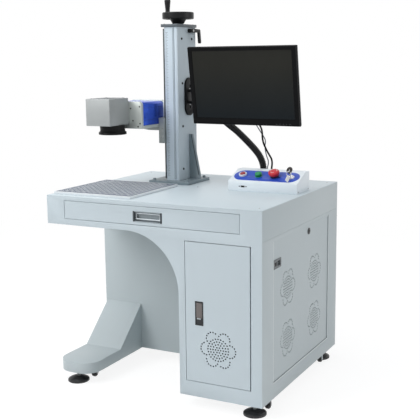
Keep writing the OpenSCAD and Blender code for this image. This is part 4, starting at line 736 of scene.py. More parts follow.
rubber_black = surface("rubber_black", (26, 26, 27), 0.6, mottle=(0.15, 40), grain=0.4, specular=0.25)
# The lips round the side panel's opening are painted much lighter than the shell: a painted highlight along
# the opening's edges.
lip_highlight_paint = surface("lip_painted_highlight", (226, 232, 232), 0.4, mottle=(0.02, 30))
panel_low, panel_high = ends_of("side_panel")
lip_wide, lip_gap, lip_back, lip_front = 0.0026, 0.0010, corner(849.6, 0, 0).x, corner(850.2, 0, 0).x
near, far = panel_low.y - lip_gap, panel_high.y + lip_gap
low, high = panel_low.z - lip_gap, panel_high.z + lip_gap
rims = [block((lip_back, y0, z0), (lip_front, y1, z1), 0.0001) for y0, y1, z0, z1 in (
    (near - lip_wide, far + lip_wide, low - lip_wide, low), (near - lip_wide, near, low, high),
    (far, far + lip_wide, low, high))]
piece("opening_lips", rims, lip_highlight_paint, body="desk")
seal = block((corner(838, 0, 0).x, panel_low.y + 0.004, panel_high.z + 0.0001),
             (corner(845, 0, 0).x, panel_high.y - 0.004, panel_high.z + 0.0016), 0.0002)
piece("panel_seal", seal, rubber_black, body="desk")

# Power inlet with its rocker
# A moulded grey inlet module with three steel pins in its socket snaps into the side panel and is held by two
# screws; its black rocker tilts on its own pivot.
inlet_grey = surface("inlet_grey", (112, 117, 119), 0.5, mottle=(0.06, 30), grain=0.3, specular=0.3)
rocker_black = surface("rocker_black", (26, 26, 27), 0.35, mottle=(0.1, 40), grain=0.1, specular=0.3)
finished("power_inlet", inlet_grey, radius=0.0005)
finished("power_rocker", rocker_black, radius=0.0005)
socket_middle = corner(834, 145, 507)
pin = block((-0.0009, -0.0022, 0), (0.0009, 0.0022, 0.009), 0.0003)
pin_spots = (-0.006, -0.002), (0, 0.0025), (0.006, -0.002)
pins = [(socket_middle + Vector((0, y, z)), rightward) for y, z in pin_spots]
set_in_places("inlet_pins", pin, pins, bail_steel, "desk")
inlet_screws = spots(849, (104.3, 160.2), 507, rightward)
screws("inlet_screws", 1.9, 0.7, inlet_screws, screw_steel)

# Levelling feet
# Moulded rubber pads, bell-shaped with ribs round their skirts, sit on zinc-plated threaded studs.
# Each stud is locked by a hexagon nut under the frame.
pad_rubber = surface("pad_rubber", (24, 25, 28), 0.42, mottle=(0.2, 35), grain=0.3, grain_scale=500,
    dust=0.12, specular=0.5)
pads, studs = [], []
thread_foot, thread_pitch, thread_turns, thread_crest, thread_root = 23, 1.25, 9, 6, 5.3
pad_profile = [(38.6, 0), (40, 1.2), (40, 6.6), (39, 8.4), (37.2, 9), (35.2, 10.6), (31.8, 12.8),
    (29.8, 13.3), (26.2, 15), (21.8, 17), (19.8, 17.4), (15.8, 19), (12.2, 20.3), (0, 20.4)]
for x, y in ((80, 43), (80, 670), (805, 43), (805, 670)):
    foot = corner(x, y, 0)
    pads.append(turned(pad_profile, foot, up, 56))
    thread = [(7.5, 20), (7.5, 22.2), (5.5, 22.6)]
    for turn_number in range(thread_turns):
        z = thread_foot + thread_pitch * turn_number
        thread += [(thread_crest, z), (thread_root, z + thread_pitch * 0.48)]
    studs.append(turned(thread + [(thread_root, 35.2)], foot, up, 20))
    studs.append(turned([(8.8, 35), (10.8, 35.8), (10.8, 42.2), (9.5, 43)], foot, up, 6))
piece("foot_pads", pads, pad_rubber, "levelling_feet", smooth=40)
piece("foot_studs_and_nuts", studs, zinc, "levelling_feet")

# Casters
# Small plate casters bolted under the frame: pressed black forks, rubber tyres on grey moulded hubs.
# A plated axle bolt with its nut holds each front wheel in its fork.
fork_black = surface("fork_black", (40, 41, 43), 0.42, mottle=(0.15, 40), grain=0.2, dust=0.12, specular=0.35)
tyre_black = surface("tyre_black", (28, 28, 29), 0.55, mottle=(0.15, 50), grain=0.4, dust=0.15, specular=0.35)
hub_grey = surface("hub_grey", (92, 95, 98), 0.5, mottle=(0.1, 50), grain=0.3)
for fork in ("caster_fork_left", "caster_fork_right"):
    finished(fork, fork_black, radius=0.0004)
for wheel in ("caster_wheel_left", "caster_wheel_right", "rear_wheel_left", "rear_wheel_right"):
    low, high = ends_of(wheel)
    middle, radius, half = (low + high) / 2, 500 * (high.z - low.z), 500 * (high.x - low.x)
    tread = turned([(radius * 0.62, -half * 0.9), (radius * 0.86, -half), (radius, -half * 0.62),
        (radius, half * 0.62), (radius * 0.86, half), (radius * 0.62, half * 0.9)], middle, rightward, 40)
    hub = turned([(0.0, -half * 0.96), (radius * 0.2, -half * 0.98), (radius * 0.26, -half * 0.8),
        (radius * 0.55, -half * 0.8), (radius * 0.63, -half * 0.94), (radius * 0.63, half * 0.94),
        (radius * 0.55, half * 0.8), (radius * 0.26, half * 0.8), (radius * 0.2, half * 0.98),
        (0.0, half * 0.96)], middle, rightward, 32)
    piece(wheel + "_tyre", tread, tyre_black, wheel, smooth=40)
    piece(wheel + "_hub", hub, hub_grey, wheel, smooth=40)
axle_end, axle_half, axle_high = turned([(3.4, 0), (3.4, 1.2), (2.6, 1.8)], sides=6), 10.5, 17
for body, x, y in (("caster_left", 115, 98), ("caster_right", 828, 102)):
    ends = spots(x + axle_half, y, axle_high, rightward) + spots(x - axle_half, y, axle_high, leftward)
    set_in_places(body + "_axle_ends", axle_end, ends, zinc, body)

# Work plate
# A grey anodised aluminium plate lies on the table top, with a staggered field of tapped holes in it.
# Its countersinks and its milled edges are bright, as they were cut after the plate was anodised.
plate_low, plate_high = ends_of("work_plate")
hole_pitch, hole_count = 0.024, 12
plate_middle = (plate_low + plate_high) / 2
field = [((i - hole_count / 2) * hole_pitch, (j - hole_count / 2) * hole_pitch, 0)
         for first, count in ((0, hole_count + 1), (0.5, hole_count))
         for i in [first + k for k in range(count)] for j in [first + k for k in range(count)]]
plate_grey = surface("plate_anodised", (88, 99, 117), 0.45, metal=0.2, mottle=(0.08, 18), grain=0.25,
    grain_scale=220, stretch=(1, 0.1, 1), dust=0.05)
milled_bright = surface("milled_bright", (226, 231, 234), 0.34, metal=0.25, mottle=(0.05, 30), grain=0.2,
    grain_scale=500)
plate = grown("work_plate_drilled", mesh_of("field", field), perforate, {"Width": plate_high.x - plate_low.x,
    "Height": plate_high.y - plate_low.y, "Hole Radius": 0.003, "Thickness": plate_high.z - plate_low.z,
    "Sides": 14, "Material": plate_grey})
plate.data.transform(shift(plate_middle.x, plate_middle.y, plate_low.z))
settle(plate, plate_grey, "work_plate", None, 30)
sinks = [(Vector((plate_middle.x + x, plate_middle.y + y, plate_high.z)), up) for x, y, z in field]
sink = turned([(2.9, -1), (5, 0.3), (5.9, 0.1), (5.9, -0.3), (2.9, -1.4)], sides=14, loop=True)
set_in_places("work_plate_countersinks", sink, sinks, milled_bright, "desk", smooth=0)
rim, proud = 0.0035, 0.0003
x0, y0, z0 = plate_low + Vector((-proud, -proud, 0.0002))
x1, y1, z1 = plate_high + Vector((proud, proud, 0.0002))
in_x0, in_y0, in_x1, in_y1 = plate_low.x + rim, plate_low.y + rim, plate_high.x - rim, plate_high.y - rim
edges = [block((a, b, z0), (c, d, z1), 0.0006) for a, b, c, d in (
    (x0, y0, x1, in_y0), (x0, in_y1, x1, y1), (x0, in_y0, in_x0, in_y1), (in_x1, in_y0, x1, in_y1))]
piece("work_plate_edges", edges, milled_bright, body="desk")

# Column
# A dark cast base with a gusset carries a satin anodised aluminium profile. Black socket screws hold its
# cover, and an engraved scale runs up the profile's front for setting the head's height.
base_grey = surface("base_paint", (122, 136, 143), 0.4, mottle=(0.06, 12), grain=0.25, grain_scale=500,
    dust=0.05)
column_silver = surface("column_anodised", (204, 217, 226), 0.58, metal=0.05, mottle=(0.03, 10), grain=0.14,
    grain_scale=260, stretch=(1, 1, 0.05), specular=0.2)
cover_silver = surface("cover_anodised", (190, 202, 209), 0.52, metal=0.08, mottle=(0.03, 10), grain=0.14,
    grain_scale=260, stretch=(1, 1, 0.05), specular=0.4)
cap_dark = surface("cap_paint", (84, 93, 99), 0.4, mottle=(0.08, 20), grain=0.2)
rail_dark = surface("rail_steel", (48, 54, 58), 0.34, metal=0.2, mottle=(0.1, 20))
mark_dark = surface("mark_dark", (44, 52, 60), 0.5, mottle=(0.1, 60))
finished("column_base", base_grey, radius=0.0012)
finished("column_profile", column_silver, radius=0.0008)
finished("column_cap", cap_dark, radius=0.0012)
finished("guide_rails", rail_dark, radius=0.0008)
finished("lead_screw", zinc, radius=0.0006)
column_top, cover_foot, cover_high = 1316, 718, 587
screw_x, screw_y = 272, 507
cover = block(corner(304, 435, cover_foot), corner(308, 579, cover_foot + cover_high), 0.0009, 3)
piece("column_cover_plate", cover, cover_silver, "column_cover")
cover_screws = [(corner(308, y, cover_foot + cover_high * share), rightward) for y, shares in (
    (467, (0.073, 0.356, 0.638, 0.925)), (547, (0.278, 0.925))) for share in shares]
screws("cover_screws", 4.6, 2.5, cover_screws, screw_black, "desk", "hexagon")
base_screws = spots((204, 348), (419, 563), cover_foot, up)
screws("base_screws", 6.2, 7.2, base_screws, base_grey, "desk", "hexagon")
cap_screws = spots((248, 300), (441, 573), column_top, up)
screws("cap_screws", 3.4, 1.2, cap_screws, screw_black, "desk", "hexagon")
scale_low, scale_high, scale_step, mark_half, mark_proud, mark_sunk = 735, 1290, 5, 0.0005, 0.00012, 0.0003
for name, step, length in (("short", scale_step, 0.0052), ("long", 2 * scale_step, 0.0098)):
    feet = [corner(256.5, 435, z) for z in range(scale_low, scale_high, step)]
    marks = [block(foot + Vector((0, -mark_proud, -mark_half)),
                   foot + Vector((length, mark_sunk, mark_half)), 0) for foot in feet]
    piece("scale_" + name + "_marks", marks, mark_dark, body="desk", smooth=0)
# Thin grey strips on the profile's front are painted shade: they darken the slot's mouth and the rail's edge,
# where shade falls.
slot_shade_grey = surface("slot_shade_grey", (112, 124, 132), 0.5, mottle=(0.1, 30))
slot_shade_strips = [block(corner(x, 434.8, 722), corner(x + wide, 435.6, 1303), 0.0001)
          for x, wide in ((286.2, 1.8), (291.4, 0.9), (254.0, 0.6))]
piece("slot_strips", slot_shade_strips, slot_shade_grey, body="desk", smooth=0)
# A dark strip along the gusset's slanted edge is painted shade, darkening the edge that turns away from the
# lamps.
slant_low, slant_high, shade_deep, shade_proud = corner(350, 521.4, 733), corner(318, 521.4, 893), 0.0024, 0.0004
slant = (slant_high - slant_low).normalized()
square = Vector((slant.z, 0, -slant.x))
gusset_edge_shade = moved(block((-shade_deep, -0.0053, 0), (shade_proud, 0.0053, (slant_high - slant_low).length), 0.0001),
    shift(slant_low) @ Matrix((square, (0, 1, 0), slant)).transposed().to_4x4())
piece("gusset_cut_edge", gusset_edge_shade, rail_dark, body="desk")
screw_top = corner(screw_x, screw_y, column_top)
bearing = turned([(20.5, 0), (20.5, 1.6), (18.5, 2.2), (12, 2.2)], screw_top, up, 40)
piece("bearing_collar", bearing, zinc, body="desk")

# Handwheel, grip and clamp lever
# A black moulded wheel with a turning grip drives the lead screw; a cap screw holds it on its shaft.
# The clamp lever is a black casting on a steel stud, and locks the slide.
wheel_black = surface("wheel_black", (18, 19, 21), 0.34, mottle=(0.1, 25), rough_vary=0.06, specular=0.22)
grip_black = surface("grip_black", (20, 20, 22), 0.38, mottle=(0.1, 40), grain=0.15, specular=0.25)
finished("handwheel", wheel_black, radius=0.002, steps=3)
hub_top = corner(screw_x, screw_y, 1346)
washer = turned([(9.5, -0.4), (9.5, 1.2), (8.5, 1.8), (0, 1.8)], hub_top, up, 36)
piece("wheel_washer", washer, zinc, body="wheel")
screws("wheel_screw", 6.5, 5, [(hub_top + Vector((0, 0, 0.0016)), up)], screw_black, "wheel", "hexagon")
grip_low, grip_high = ends_of("wheel_handle")
grip_foot = Vector(((grip_low.x + grip_high.x) / 2, (grip_low.y + grip_high.y) / 2, grip_low.z))
grip = turned([(0, 0), (8.8, 0), (9.4, 1), (9.2, 4), (8.6, 6), (9, 14), (10.2, 26), (11.4, 38), (12, 43),
    (11.9, 46.5), (10.8, 49), (8.4, 49.9), (4.5, 50), (4.2, 48.4), (0, 48.4)], grip_foot, up, 36)
piece("turning_grip", grip, grip_black, "wheel_handle", smooth=45)
axle_head = [(grip_foot + Vector((0, 0, 0.0485)), up)]
set_in_places("grip_axle_head", screw_head(3.6, 1.4), axle_head, zinc, "grip", turn=1.0)
finished("clamp_lever", grip_black, radius=0.0015, steps=3, angle=50)
stud = turned([(4.5, -0.5), (4.5, 1.2), (3.6, 2), (0, 2)], corner(329.3, 524, 1292), rightward, 24)
piece("clamp_stud", stud, zinc, body="clamp")

# Slide and bracket
# A silver slide of milled aluminium runs on the rails. A painted bracket with a shelf is bolted to it with
# socket screws and carries the laser's bed.
bracket_grey = surface("bracket_paint", (166, 172, 170), 0.42, mottle=(0.06, 16), grain=0.25)
silver = surface("silver_anodised", (196, 202, 198), 0.4, metal=0.3, mottle=(0.05, 14), grain=0.2,
    grain_scale=200, stretch=(1, 1, 0.1))
finished("slider", silver, radius=0.0008)
finished("slider_bracket", bracket_grey, radius=0.0010)
bracket_foot, bracket_high, bolt_shares = 863, 98, (0.25, 0.47, 0.57)
bolt_heights = tuple(bracket_foot + bracket_high * share for share in bolt_shares)
bracket_bolts = spots(242.2, 422, bolt_heights, frontward)
screws("bracket_front_screws", 3.2, 2.2, bracket_bolts, screw_steel, "head", "hexagon")
bracket_bolts = spots(226.1, (490, 548), (878, 903), leftward)
screws("bracket_side_screws", 4.2, 3, bracket_bolts, screw_black, "head", "hexagon")

# Laser housing
# A blue anodised extrusion lies on a silver bed between silver end plates, held by black socket screws.
# An isolator tube with black cuffs leaves at the back, and a black nut holds the conduit in it.
laser_blue = surface("laser_blue", (40, 84, 200), 0.26, metal=0.72, mottle=(0.06, 9), grain=0.12,
    grain_scale=240, stretch=(1, 0.1, 1))
finished("laser_housing", laser_blue, radius=0.0022, steps=3)
finished("housing_plates", silver, radius=0.0016, steps=3)
front_screws = [(corner(x, 297, z), frontward) for x, z in (
    (86, 1010), (86, 940), (218, 1010), (219, 947), (188, 957), (210, 935), (178.5, 1003))]
back_screws = spots((88, 214), 476, (944, 1012), rearward)
screws("end_plate_screws", 3, 1.2, front_screws + back_screws, screw_black, "head", "hexagon")
# Darker blue strips along both sides of the housing are painted shade in lines along the extrusion.
groove_shade_reach = Vector((0.00025, 0, 0.0006))
housing_groove_shades = [block(corner(x, 311.5, z) - groove_shade_reach, corner(x, 461.5, z) + groove_shade_reach, 0)
         for x in (226.1, 76.1) for z in (958, 1004)]
blue_shade = surface("laser_blue_shade", (26, 50, 124), 0.4, metal=0.5, mottle=(0.06, 9))
piece("housing_seams", housing_groove_shades, blue_shade, body="head", smooth=0)
isolator_middle, cuff_feet, nut_stand = corner(151.1, 476, 981.5), (0.0005, 0.078), 0.0905
cuff = turned([(18.8, 0), (20.2, 0.6), (20.2, 7.4), (18.8, 8)], isolator_middle, rearward, 40)
cuffs = [moved(cuff, shift(0, y)) for y in cuff_feet]
piece("isolator_cuffs", cuffs, screw_black, body="head", smooth=40)
nut_foot = isolator_middle + Vector((0, nut_stand, 0))
nut = turned([(16, 0), (19, 0.8), (19, 8.2), (17.4, 9)], nut_foot, rearward, 6)
nut_collar = turned([(16.4, 8.8), (16.4, 12.4), (15.6, 13.4), (13.8, 13.4)], nut_foot, rearward, 40)
piece("conduit_nut", [nut, nut_collar], gland_black, body="head")

# Scanner head
# A grey anodised aluminium box, bolted to the housing by its flange. Its top has a sunk dark lid with a
# socket screw in each corner.
head_grey = surface("scanner_anodised", (170, 174, 174), 0.42, metal=0.3, mottle=(0.04, 14), grain=0.2,
    grain_scale=240, stretch=(0.1, 1, 1))
lid_grey = surface("scanner_lid", (96, 102, 106), 0.4, metal=0.4, mottle=(0.06, 18), grain=0.2)
finished("galvo_head", head_grey, radius=0.0016, steps=3)
lid = block(corner(78, 174, 1042.6), corner(162, 284, 1043.7), 0.0004)
piece("scanner_lid", lid, lid_grey, body="head")
lid_screws = spots((83, 157), (179, 279), 1043.6, up)
screws("lid_screws", 2.1, 0.9, lid_screws, screw_black, "head", "hexagon")
wall_screws = spots(68.1, (171, 285), (951, 1036), leftward)
screws("scanner_wall_screws", 1.9, 0.5, wall_screws, screw_black, "head", "hexagon")

# Lens
# A black anodised barrel with a knurled ring and a wider mouth screws into the scanner head.
# Coated glass lies inside its rim.
lens_black = surface("lens_black", (12, 13, 14), 0.36, mottle=(0.15, 40), grain=0.1, specular=0.16)
lens_glass = surface("lens_glass", (30, 44, 40), 0.06, mottle=(0.1, 6), rough_vary=0.02,
    specular=0.7, coat=0.6)
lens_low, lens_high = ends_of("lens")
mouth = Vector(((lens_low.x + lens_high.x) / 2, (lens_low.y + lens_high.y) / 2, lens_low.z))
barrel = turned([(34, 3.4), (37.8, 0.4), (50.5, 0), (52.2, 0.8), (52.4, 4.2), (51.5, 5.4), (52.4, 6.4),
    (51.8, 9.2), (48.6, 11.2), (47.4, 12), (47.4, 13.4), (46.2, 14), (46.2, 23.8), (47.4, 24.6), (47.4, 35)],
    mouth, up, 72)
piece("lens_barrel", barrel, lens_black, "lens", smooth=35)
glass = turned([(0, 1.2), (15, 1.6), (26, 2.6), (34.5, 4), (34.5, 6)], mouth, up, 48)
piece("lens_glass_front", glass, lens_glass, body="head", smooth=60)
knurl = turned([(0.7, 0), (0.7, 0.2), (0.2, 0.8)], sides=4)
knurl_radius, knurl_foot, knurl_pitch, knurl_rows, knurl_count = 0.0461, 0.0150, 0.0022, 4, 72
knurl_places = []
for row in range(knurl_rows):
    for i in range(knurl_count):
        a = 2 * math.pi * (i + row / 2) / knurl_count
        out, rise = Vector((math.cos(a), math.sin(a), 0)), Vector((0, 0, knurl_foot + knurl_pitch * row))
        knurl_places.append((mouth + knurl_radius * out + rise, out))
set_in_places("lens_knurl", knurl, knurl_places, lens_black, "head", smooth=0)

# Control box
# A folded steel box with a white powder coat, held by two screws at each end. A blue film panel is stuck to
# its slope, and a small data port with two screws sits in its front.
box_paint = surface("box_paint", (230, 238, 243), 0.38, mottle=(0.012, 5), grain=0.12, grain_scale=700,
    dust=0.02)
overlay_blue = surface("overlay_blue", (36, 76, 186), 0.3, mottle=(0.05, 14), grain=0.08, specular=0.35)
port_black = surface("port_black", (14, 14, 15), 0.5, mottle=(0.1, 60), specular=0.2)
finished("control_box", box_paint, radius=0.0016, steps=3)
finished("overlay_panel", overlay_blue, radius=0.0002)
port_screws = spots((600, 627), 360, 723, frontward)
screws("port_screws", 2.2, 1, port_screws, screw_black)
port = [block(corner(x0, 359.6, z0), corner(x1, 361.2, z1), 0.0001) for x0, z0, x1, z1 in (
    (605.6, 719.6, 621.4, 720.1), (605.6, 725.9, 621.4, 726.4), (605.6, 720.1, 606.1, 725.9),
    (620.9, 720.1, 621.4, 725.9))]
piece("port_shell", port, zinc, body="desk")
port_box = block(corner(605.5, 363, 719.5), corner(621.5, 380, 726.5), 0.0004)
port_tongue = block(corner(608.5, 361.4, 722.4), corner(618.5, 363, 724.0), 0.0002)
piece("port_body", [port_box, port_tongue], port_black, body="desk")
box_screws = spots(826, (372, 470), 712, rightward) + spots(555, (372, 470), 712, leftward)
screws("box_side_screws", 2.7, 1.2, box_screws, screw_steel)

# Buttons, emergency stop and key switch
# Moulded bezels snap into the slope: a red button in a tall white collar, a green dome and a twist-release
# stop on a collar painted dark as the shadow under its cap. The key switch is chromed brass, and its key
# holds a ring with a white tag.
bezel_white = surface("bezel_white", (226, 228, 230), 0.3, mottle=(0.03, 30))
button_red = surface("button_red", (158, 30, 44), 0.3, mottle=(0.06, 40), specular=0.35)
button_green = surface("button_green", (26, 142, 86), 0.28, mottle=(0.06, 40), specular=0.35)
stop_red = surface("stop_red", (200, 42, 54), 0.32, mottle=(0.05, 40), specular=0.35)
chrome = surface("chrome", (214, 216, 218), 0.12, metal=1.0, mottle=(0.03, 60), rough_vary=0.04)
bow_dark = surface("bow_dark", (70, 66, 64), 0.28, metal=0.6, mottle=(0.1, 60))
tag_white = surface("tag_white", (232, 232, 228), 0.45, mottle=(0.03, 50))
slope_rise, slope_run = 34, 84
box_left, box_front, slope_foot = 555, 360, 742
slope_angle, slope_length = math.atan2(slope_rise, slope_run), math.hypot(slope_rise, slope_run) / 1000


def spun(degrees, axis):
    return Matrix.Rotation(math.radians(degrees), 4, axis)


def on_slope(along_box):
    """The frame of a control: its origin on the slope's middle line, its Z square to the slope."""
    foot = shift(corner(box_left + along_box, box_front, slope_foot))
    return foot @ Matrix.Rotation(slope_angle, 4, "X") @ shift(0, slope_length / 2)


def ring_of(inner, outer, low, high, edge=0.7):
    """A turned ring with rounded upper edges; its sizes are in millimetres."""
    return turned([(inner, low), (outer, low), (outer, high - edge), (outer - edge, high),
        (inner + edge, high), (inner, high - edge)], sides=40, loop=True)


controls = [on_slope(x) for x in (41, 104, 167, 230)]
key_rest = controls[3] @ spun(-38, "Z")
bezel_barrel = ring_of(9.5, 10.5, -11, 0.8)
tall_collar = joined(ring_of(9.8, 15, 0.6, 7.4, 1.4), bezel_barrel)
bezels = [moved(tall_collar, controls[0]), moved(bezel_barrel, controls[2])]
piece("bezels_white", bezels, bezel_white, "switch_bodies")
# The stop's collar is painted dark navy-purple: painted shadow under the wide red cap.
stop_collar_shadow = surface("stop_collar_shadow", (46, 34, 60), 0.5, mottle=(0.08, 7), grain=0.2, specular=0.3)
neck = joined(ring_of(9.8, 15, 0.6, 3.4), ring_of(9.8, 12.4, 3.4, 6.4))
piece("stop_collar", moved(neck, controls[2]), stop_collar_shadow, body="desk")
low_bezel = joined(ring_of(9.8, 13.8, 0.6, 1.9), bezel_barrel)
piece("bezel_green", moved(low_bezel, controls[1]), button_green, "switch_bodies")
lock_body = joined(ring_of(8.4, 14, 0.6, 3), ring_of(8.4, 11.2, 3, 5.4), ring_of(8.4, 10.5, -11, 0.8))
piece("key_switch_body", moved(lock_body, controls[3]), chrome, "switch_bodies")
red_cap = turned([(0, -13), (9.4, -13), (9.4, 8.4), (8.4, 9.4), (5, 9), (0, 8.8)], sides=40)
piece("power_button_cap", moved(red_cap, controls[0]), button_red, "power_button", smooth=40)
green_cap = turned([(0, -13), (9.2, -13), (9.2, 6.4), (12, 6.5), (13, 7.2), (13.2, 10), (12.2, 12),
    (9.5, 13.6), (5.5, 14.3), (0, 14.5)], sides=40)
piece("start_button_cap", moved(green_cap, controls[1]), button_green, "start_button", smooth=50)
stop_cap = turned([(0, -13), (9.2, -13), (9.2, 14.2), (13.4, 14.2), (13.4, 8.6), (14.6, 7.9), (17, 8),
    (19.2, 10.8), (20.4, 14), (20.6, 17.6), (20.2, 20.6), (18.4, 23.2), (14, 24.8), (7, 25.5), (0, 25.7)],
    sides=48)
piece("emergency_stop_cap", moved(stop_cap, controls[2]), stop_red, "emergency_stop", smooth=50)
mark = block((-0.0007, -0.0016, 0.0246), (0.0007, 0.0016, 0.0255), 0.0002)
mark_out, mark_step = 0.0125, 12
arrows = [moved(mark, spun(120 * third + mark_step * i, "Z") @ shift(mark_out, 0, 0.0001))
          for third in range(3) for i in range(5)]
piece("stop_turn_marks", moved(joined(*arrows), controls[2]), tag_white, body="estop")
plug = turned([(0, -13), (7.9, -13), (7.9, 4.6), (7, 5.6), (0, 5.8)], sides=36)
piece("key_plug", moved(plug, controls[3]), chrome, "key", smooth=40)
blade = block((-0.0011, -0.0045, 0.0050), (0.0011, 0.0045, 0.0240), 0.0004)
piece("key_blade", moved(blade, key_rest), chrome, "key")
bow = turned([(2.5, -1.3), (11.8, -1.3), (12.2, -0.8), (12.2, 0.8), (11.8, 1.3), (2.5, 1.3)], (0, 0, 0.031),
    rightward, 36, True)
neck = block((-0.0014, -0.0062, 0.0170), (0.0014, 0.0062, 0.0215), 0.0006)
piece("key_bow", moved(joined(bow, neck), key_rest), bow_dark, "key")
upright = Matrix.Rotation(-slope_angle, 4, "X")
bow_middle, ring_hole, ring_hang = 0.031, 0.008, 0.0103
hang = controls[3] @ shift(0, -ring_hole, bow_middle) @ upright @ shift(0, 0, -ring_hang)
ring_wire = turned([(9 + 0.9 * math.cos(a), 0.9 * math.sin(a)) for a in [math.pi * k / 4 for k in range(8)]],
    (0, 0, 0), rearward, 36, True)
piece("key_ring", moved(ring_wire, hang), chrome, "key", smooth=60)
tag_lean = Matrix.Rotation(slope_angle + math.radians(11), 4, "X")
tag_frame = hang @ shift(0, 0, -0.009) @ tag_lean @ spun(-35, "Y")
tag = block((-0.0008, -0.0262, -0.0070), (0.0008, 0.0030, 0.0070), 0.0006)
piece("key_tag", moved(tag, tag_frame), tag_white, "key")

# Monitor arm
# A black die-cast arm turns on a wall plate, which two steel screws hold to the column.
# Moulded caps cover its pivots.
arm_black = surface("arm_black", (14, 15, 18), 0.4, mottle=(0.1, 20), grain=0.2, specular=0.16)
pivot_x, pivot_y, head_x, head_y, cap_high, cap_low = 345, 515, 617, 462, 1067.3, 1012.7
for part in ("arm_wall_plate", "monitor_arm", "arm_head"):
    finished(part, arm_black, radius=0.0014, steps=3)
plate_screws = spots(309.5, 515, (1012, 1068), rightward)
screws("wall_plate_screws", 6.2, 5.6, plate_screws, screw_steel)
cap_form = turned([(11.8, 0), (11.8, 1), (10, 2), (0, 2.2)], sides=36)
arm_caps = spots(pivot_x, pivot_y, cap_high, up) + spots(pivot_x, pivot_y, cap_low, (0, 0, -1))
set_in_places("arm_pivot_caps", cap_form, arm_caps, gland_black, "desk", smooth=40)
head_caps = spots(head_x, head_y, cap_high, up)
set_in_places("head_pivot_caps", cap_form, head_caps, gland_black, "arm_head", smooth=40)
pivot, head_axis = corner(pivot_x, pivot_y, 0), corner(head_x, head_y, 0)
arm_way = (head_axis - pivot).normalized()
arm_side = Vector((arm_way.y, -arm_way.x, 0))
rib_turn, rib_out, rib_pitch = Matrix.Rotation(math.atan2(arm_way.y, arm_way.x), 4, "Z"), 0.0121, 0.0244
rib = moved(block((0.03, -0.0004, 1.0268), (0.245, 0.0006, 1.0288), 0.0003), rib_turn)
ribs = [moved(rib, shift(pivot + sign * arm_side * rib_out)) for sign in (-1, 1)]
ribs += [moved(form, shift(0, 0, rib_pitch)) for form in ribs]
piece("arm_ribs", ribs, arm_black, body="arm")

# Monitor
# A glossy black moulded frame holds a dark matt screen. The back is a rough moulding with rows of louvres,
# and four screws hold the arm's plate to it.
monitor_gloss = surface("monitor_gloss", (10, 11, 13), 0.18, mottle=(0.08, 16), rough_vary=0.04,
    specular=0.09)
monitor_rough = surface("monitor_rough", (36, 37, 39), 0.5, mottle=(0.1, 16), grain=0.4, grain_scale=600,
    specular=0.3)
screen_grey = surface("screen_grey", (30, 31, 30), 0.42, mottle=(0.22, 2.2), rough_vary=0.05, grain=0.05,
    specular=0.12)
shell = finished("monitor_shell", monitor_gloss, radius=0.0026, steps=3)
finished("monitor_screen", screen_grey, radius=0.0)
# The screen's colour carries a painted reflection: lighter and warmer towards its top, blue-black towards its
# bottom.
tree = screen_grey.node_tree
shader = next(node for node in tree.nodes if node.type == "BSDF_PRINCIPLED")
height = add(tree, "SeparateXYZ", None, Vector=add(tree, "TexCoord").outputs["Object"]).outputs["Z"]
share = add(tree, "MapRange", {"From Min": 0.98, "From Max": 1.16}, Value=height).outputs[0]
painted_reflection_colours = add(tree, "Mix", {"data_type": "RGBA", 6: (0.45, 0.62, 0.8, 1), 7: (1.25, 1.2, 1.05, 1)}, n0=share)
screen_reflection_tint = add(tree, "Mix", {"data_type": "RGBA", "blend_type": "MULTIPLY", 0: 1.0},
    n6=shader.inputs["Base Color"].links[0].from_socket, n7=painted_reflection_colours.outputs[2]).outputs[2]
tree.links.new(screen_reflection_tint, shader.inputs["Base Color"])
at_monitor = shift(corner(613, 360, 1085)) @ spun(-2.3, "Z") @ spun(8.4, "X")


def frame_of(width, height, lip, low_lip, y0, y1, z_shift=0.0, edge=0.0004):
    """Four thin bars round an upright opening."""
    w, top, foot = width / 2, height / 2 + z_shift, z_shift - height / 2
    sill, head = foot + low_lip, top - lip
    return joined(*[block((x0, y0, z0), (x1, y1, z1), edge) for x0, z0, x1, z1 in (
        (-w, head, w, top), (-w, foot, w, sill), (-w, sill, -w + lip, head), (w - lip, sill, w, head))])


shell.data.materials.append(monitor_rough)
into_monitor = at_monitor.inverted()
for face in shell.data.polygons:
    face.material_index = int((into_monitor @ face.center).y > 0.0100)
rim_line = frame_of(0.4350, 0.2860, 0.0016, 0.0016, 0.0092, 0.0104)
piece("monitor_seam", moved(rim_line, at_monitor), monitor_rough, body="monitor")
inner = frame_of(0.4090, 0.2490, 0.0016, 0.0016, -0.0003, 0.0022, 0.0055, 0.0003)
piece("screen_bead", moved(inner, at_monitor), monitor_gloss, body="monitor")
turned_monitor = at_monitor.to_3x3()
behind, forward = turned_monitor @ Vector((0, 1, 0)), turned_monitor @ Vector((0, -1, 0))
back_depth, louvre_foot, louvre_pitch, louvre_rows, louvre_half = 0.0474, 0.066, 0.0042, 6, 0.022
louvres = [(at_monitor @ Vector((x, back_depth, louvre_foot + louvre_pitch * i)), behind)
           for i in range(louvre_rows) for x in (-0.081, -0.027, 0.027, 0.081)]
louvre = block((-louvre_half, -0.0009, 0), (louvre_half, 0.0009, 0.0011), 0.0003)
set_in_places("monitor_louvres", louvre, louvres, monitor_rough, "monitor")
key_left, key_pitch, key_count, key_sunk, key_low = 0.128, 0.013, 5, 0.0004, 0.1345
keys = [(at_monitor @ Vector((key_left + key_pitch * i, -key_sunk, -key_low)), forward)
        for i in range(key_count)]
key_mark = turned([(1.1, 0), (1.1, 0.4), (0, 0.5)], sides=12)
set_in_places("monitor_key_marks", key_mark, keys, hub_grey, "monitor")
mount_half, mount_depth = 0.05, 0.051
plate_corners = [(at_monitor @ Vector((a * mount_half, mount_depth, b * mount_half)), behind)
                 for a in (-1, 1) for b in (-1, 1)]
screws("monitor_plate_screws", 3.8, 2.2, plate_corners, screw_steel, "monitor")

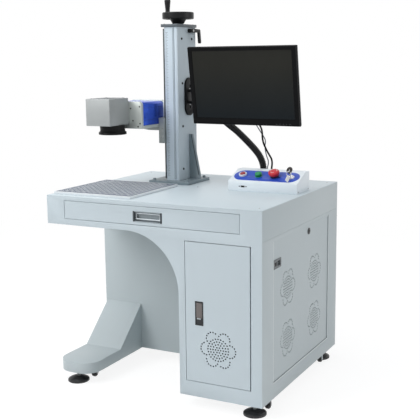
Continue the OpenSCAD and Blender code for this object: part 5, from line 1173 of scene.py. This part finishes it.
# Laser source and computer inside the cabinet
# Closed painted steel housings stand on the shelf and on the cabinet's floor. The source has a wire fan guard
# held by four screws; the computer has a front with louvres, a drive and a power key.
source_paint = surface("source_paint", (92, 98, 104), 0.45, mottle=(0.06, 12), grain=0.3)
case_black = surface("case_black", (46, 46, 48), 0.5, mottle=(0.08, 12), grain=0.3, specular=0.3)
finished("laser_source", source_paint, radius=0.0015)
finished("computer_case", case_black, radius=0.0015)
source_low, source_high = ends_of("laser_source")
fan = Vector(((source_low.x + source_high.x) / 2, source_low.y, (source_low.z + 0.006 + source_high.z) / 2))
wire = [(0.9 * math.cos(a), 0.9 * math.sin(a) - 1.2) for a in [math.pi * k / 3 for k in range(6)]]
guard = [turned([(ring + x, y) for x, y in wire], fan, rearward, 40, True) for ring in (10, 18, 26, 34, 42)]
stay = block((-0.042, -0.0020, -0.0008), (0.042, -0.0004, 0.0008), 0.0003)
guard += [moved(stay, shift(fan) @ spun(degrees, "Y")) for degrees in (45, 135)]
piece("fan_guard", guard, zinc, body="desk", smooth=50)
guard_hole = 0.034
guard_screws = [(fan + guard_hole * Vector((a, 0, b)), frontward) for a in (-1, 1) for b in (-1, 1)]
screws("fan_screws", 2.6, 1.2, guard_screws, screw_steel)
case_low, case_high = ends_of("computer_case")
case_middle = (case_low.x + case_high.x) / 2
slot_foot, slot_pitch, slot_count, slot_half = 0.03, 0.007, 14, 0.060
case_slots = [(Vector((case_middle, case_low.y, case_low.z + slot_foot + slot_pitch * i)), frontward)
              for i in range(slot_count)]
case_slot = block((-slot_half, -0.0014, 0), (slot_half, 0.0014, 0.0012), 0.0004)
set_in_places("case_front_louvres", case_slot, case_slots, case_black, "desk")
drive_low, drive_high = Vector((0.0185, 0.0004, 0.1812)), Vector((0.1565, 0.0040, 0.2188))
drive = block(case_low + drive_low, case_low + drive_high, 0.0006)
piece("case_drive_front", drive, hub_grey, body="desk")
power_place = case_low + Vector((0.1435, 0.0040, 0.150))
power = turned([(0, 0), (7.4, 0), (7.4, 4.2), (6.4, 5), (0, 5)], power_place, frontward, 28)
piece("case_power_key", power, zinc, body="desk", smooth=40)
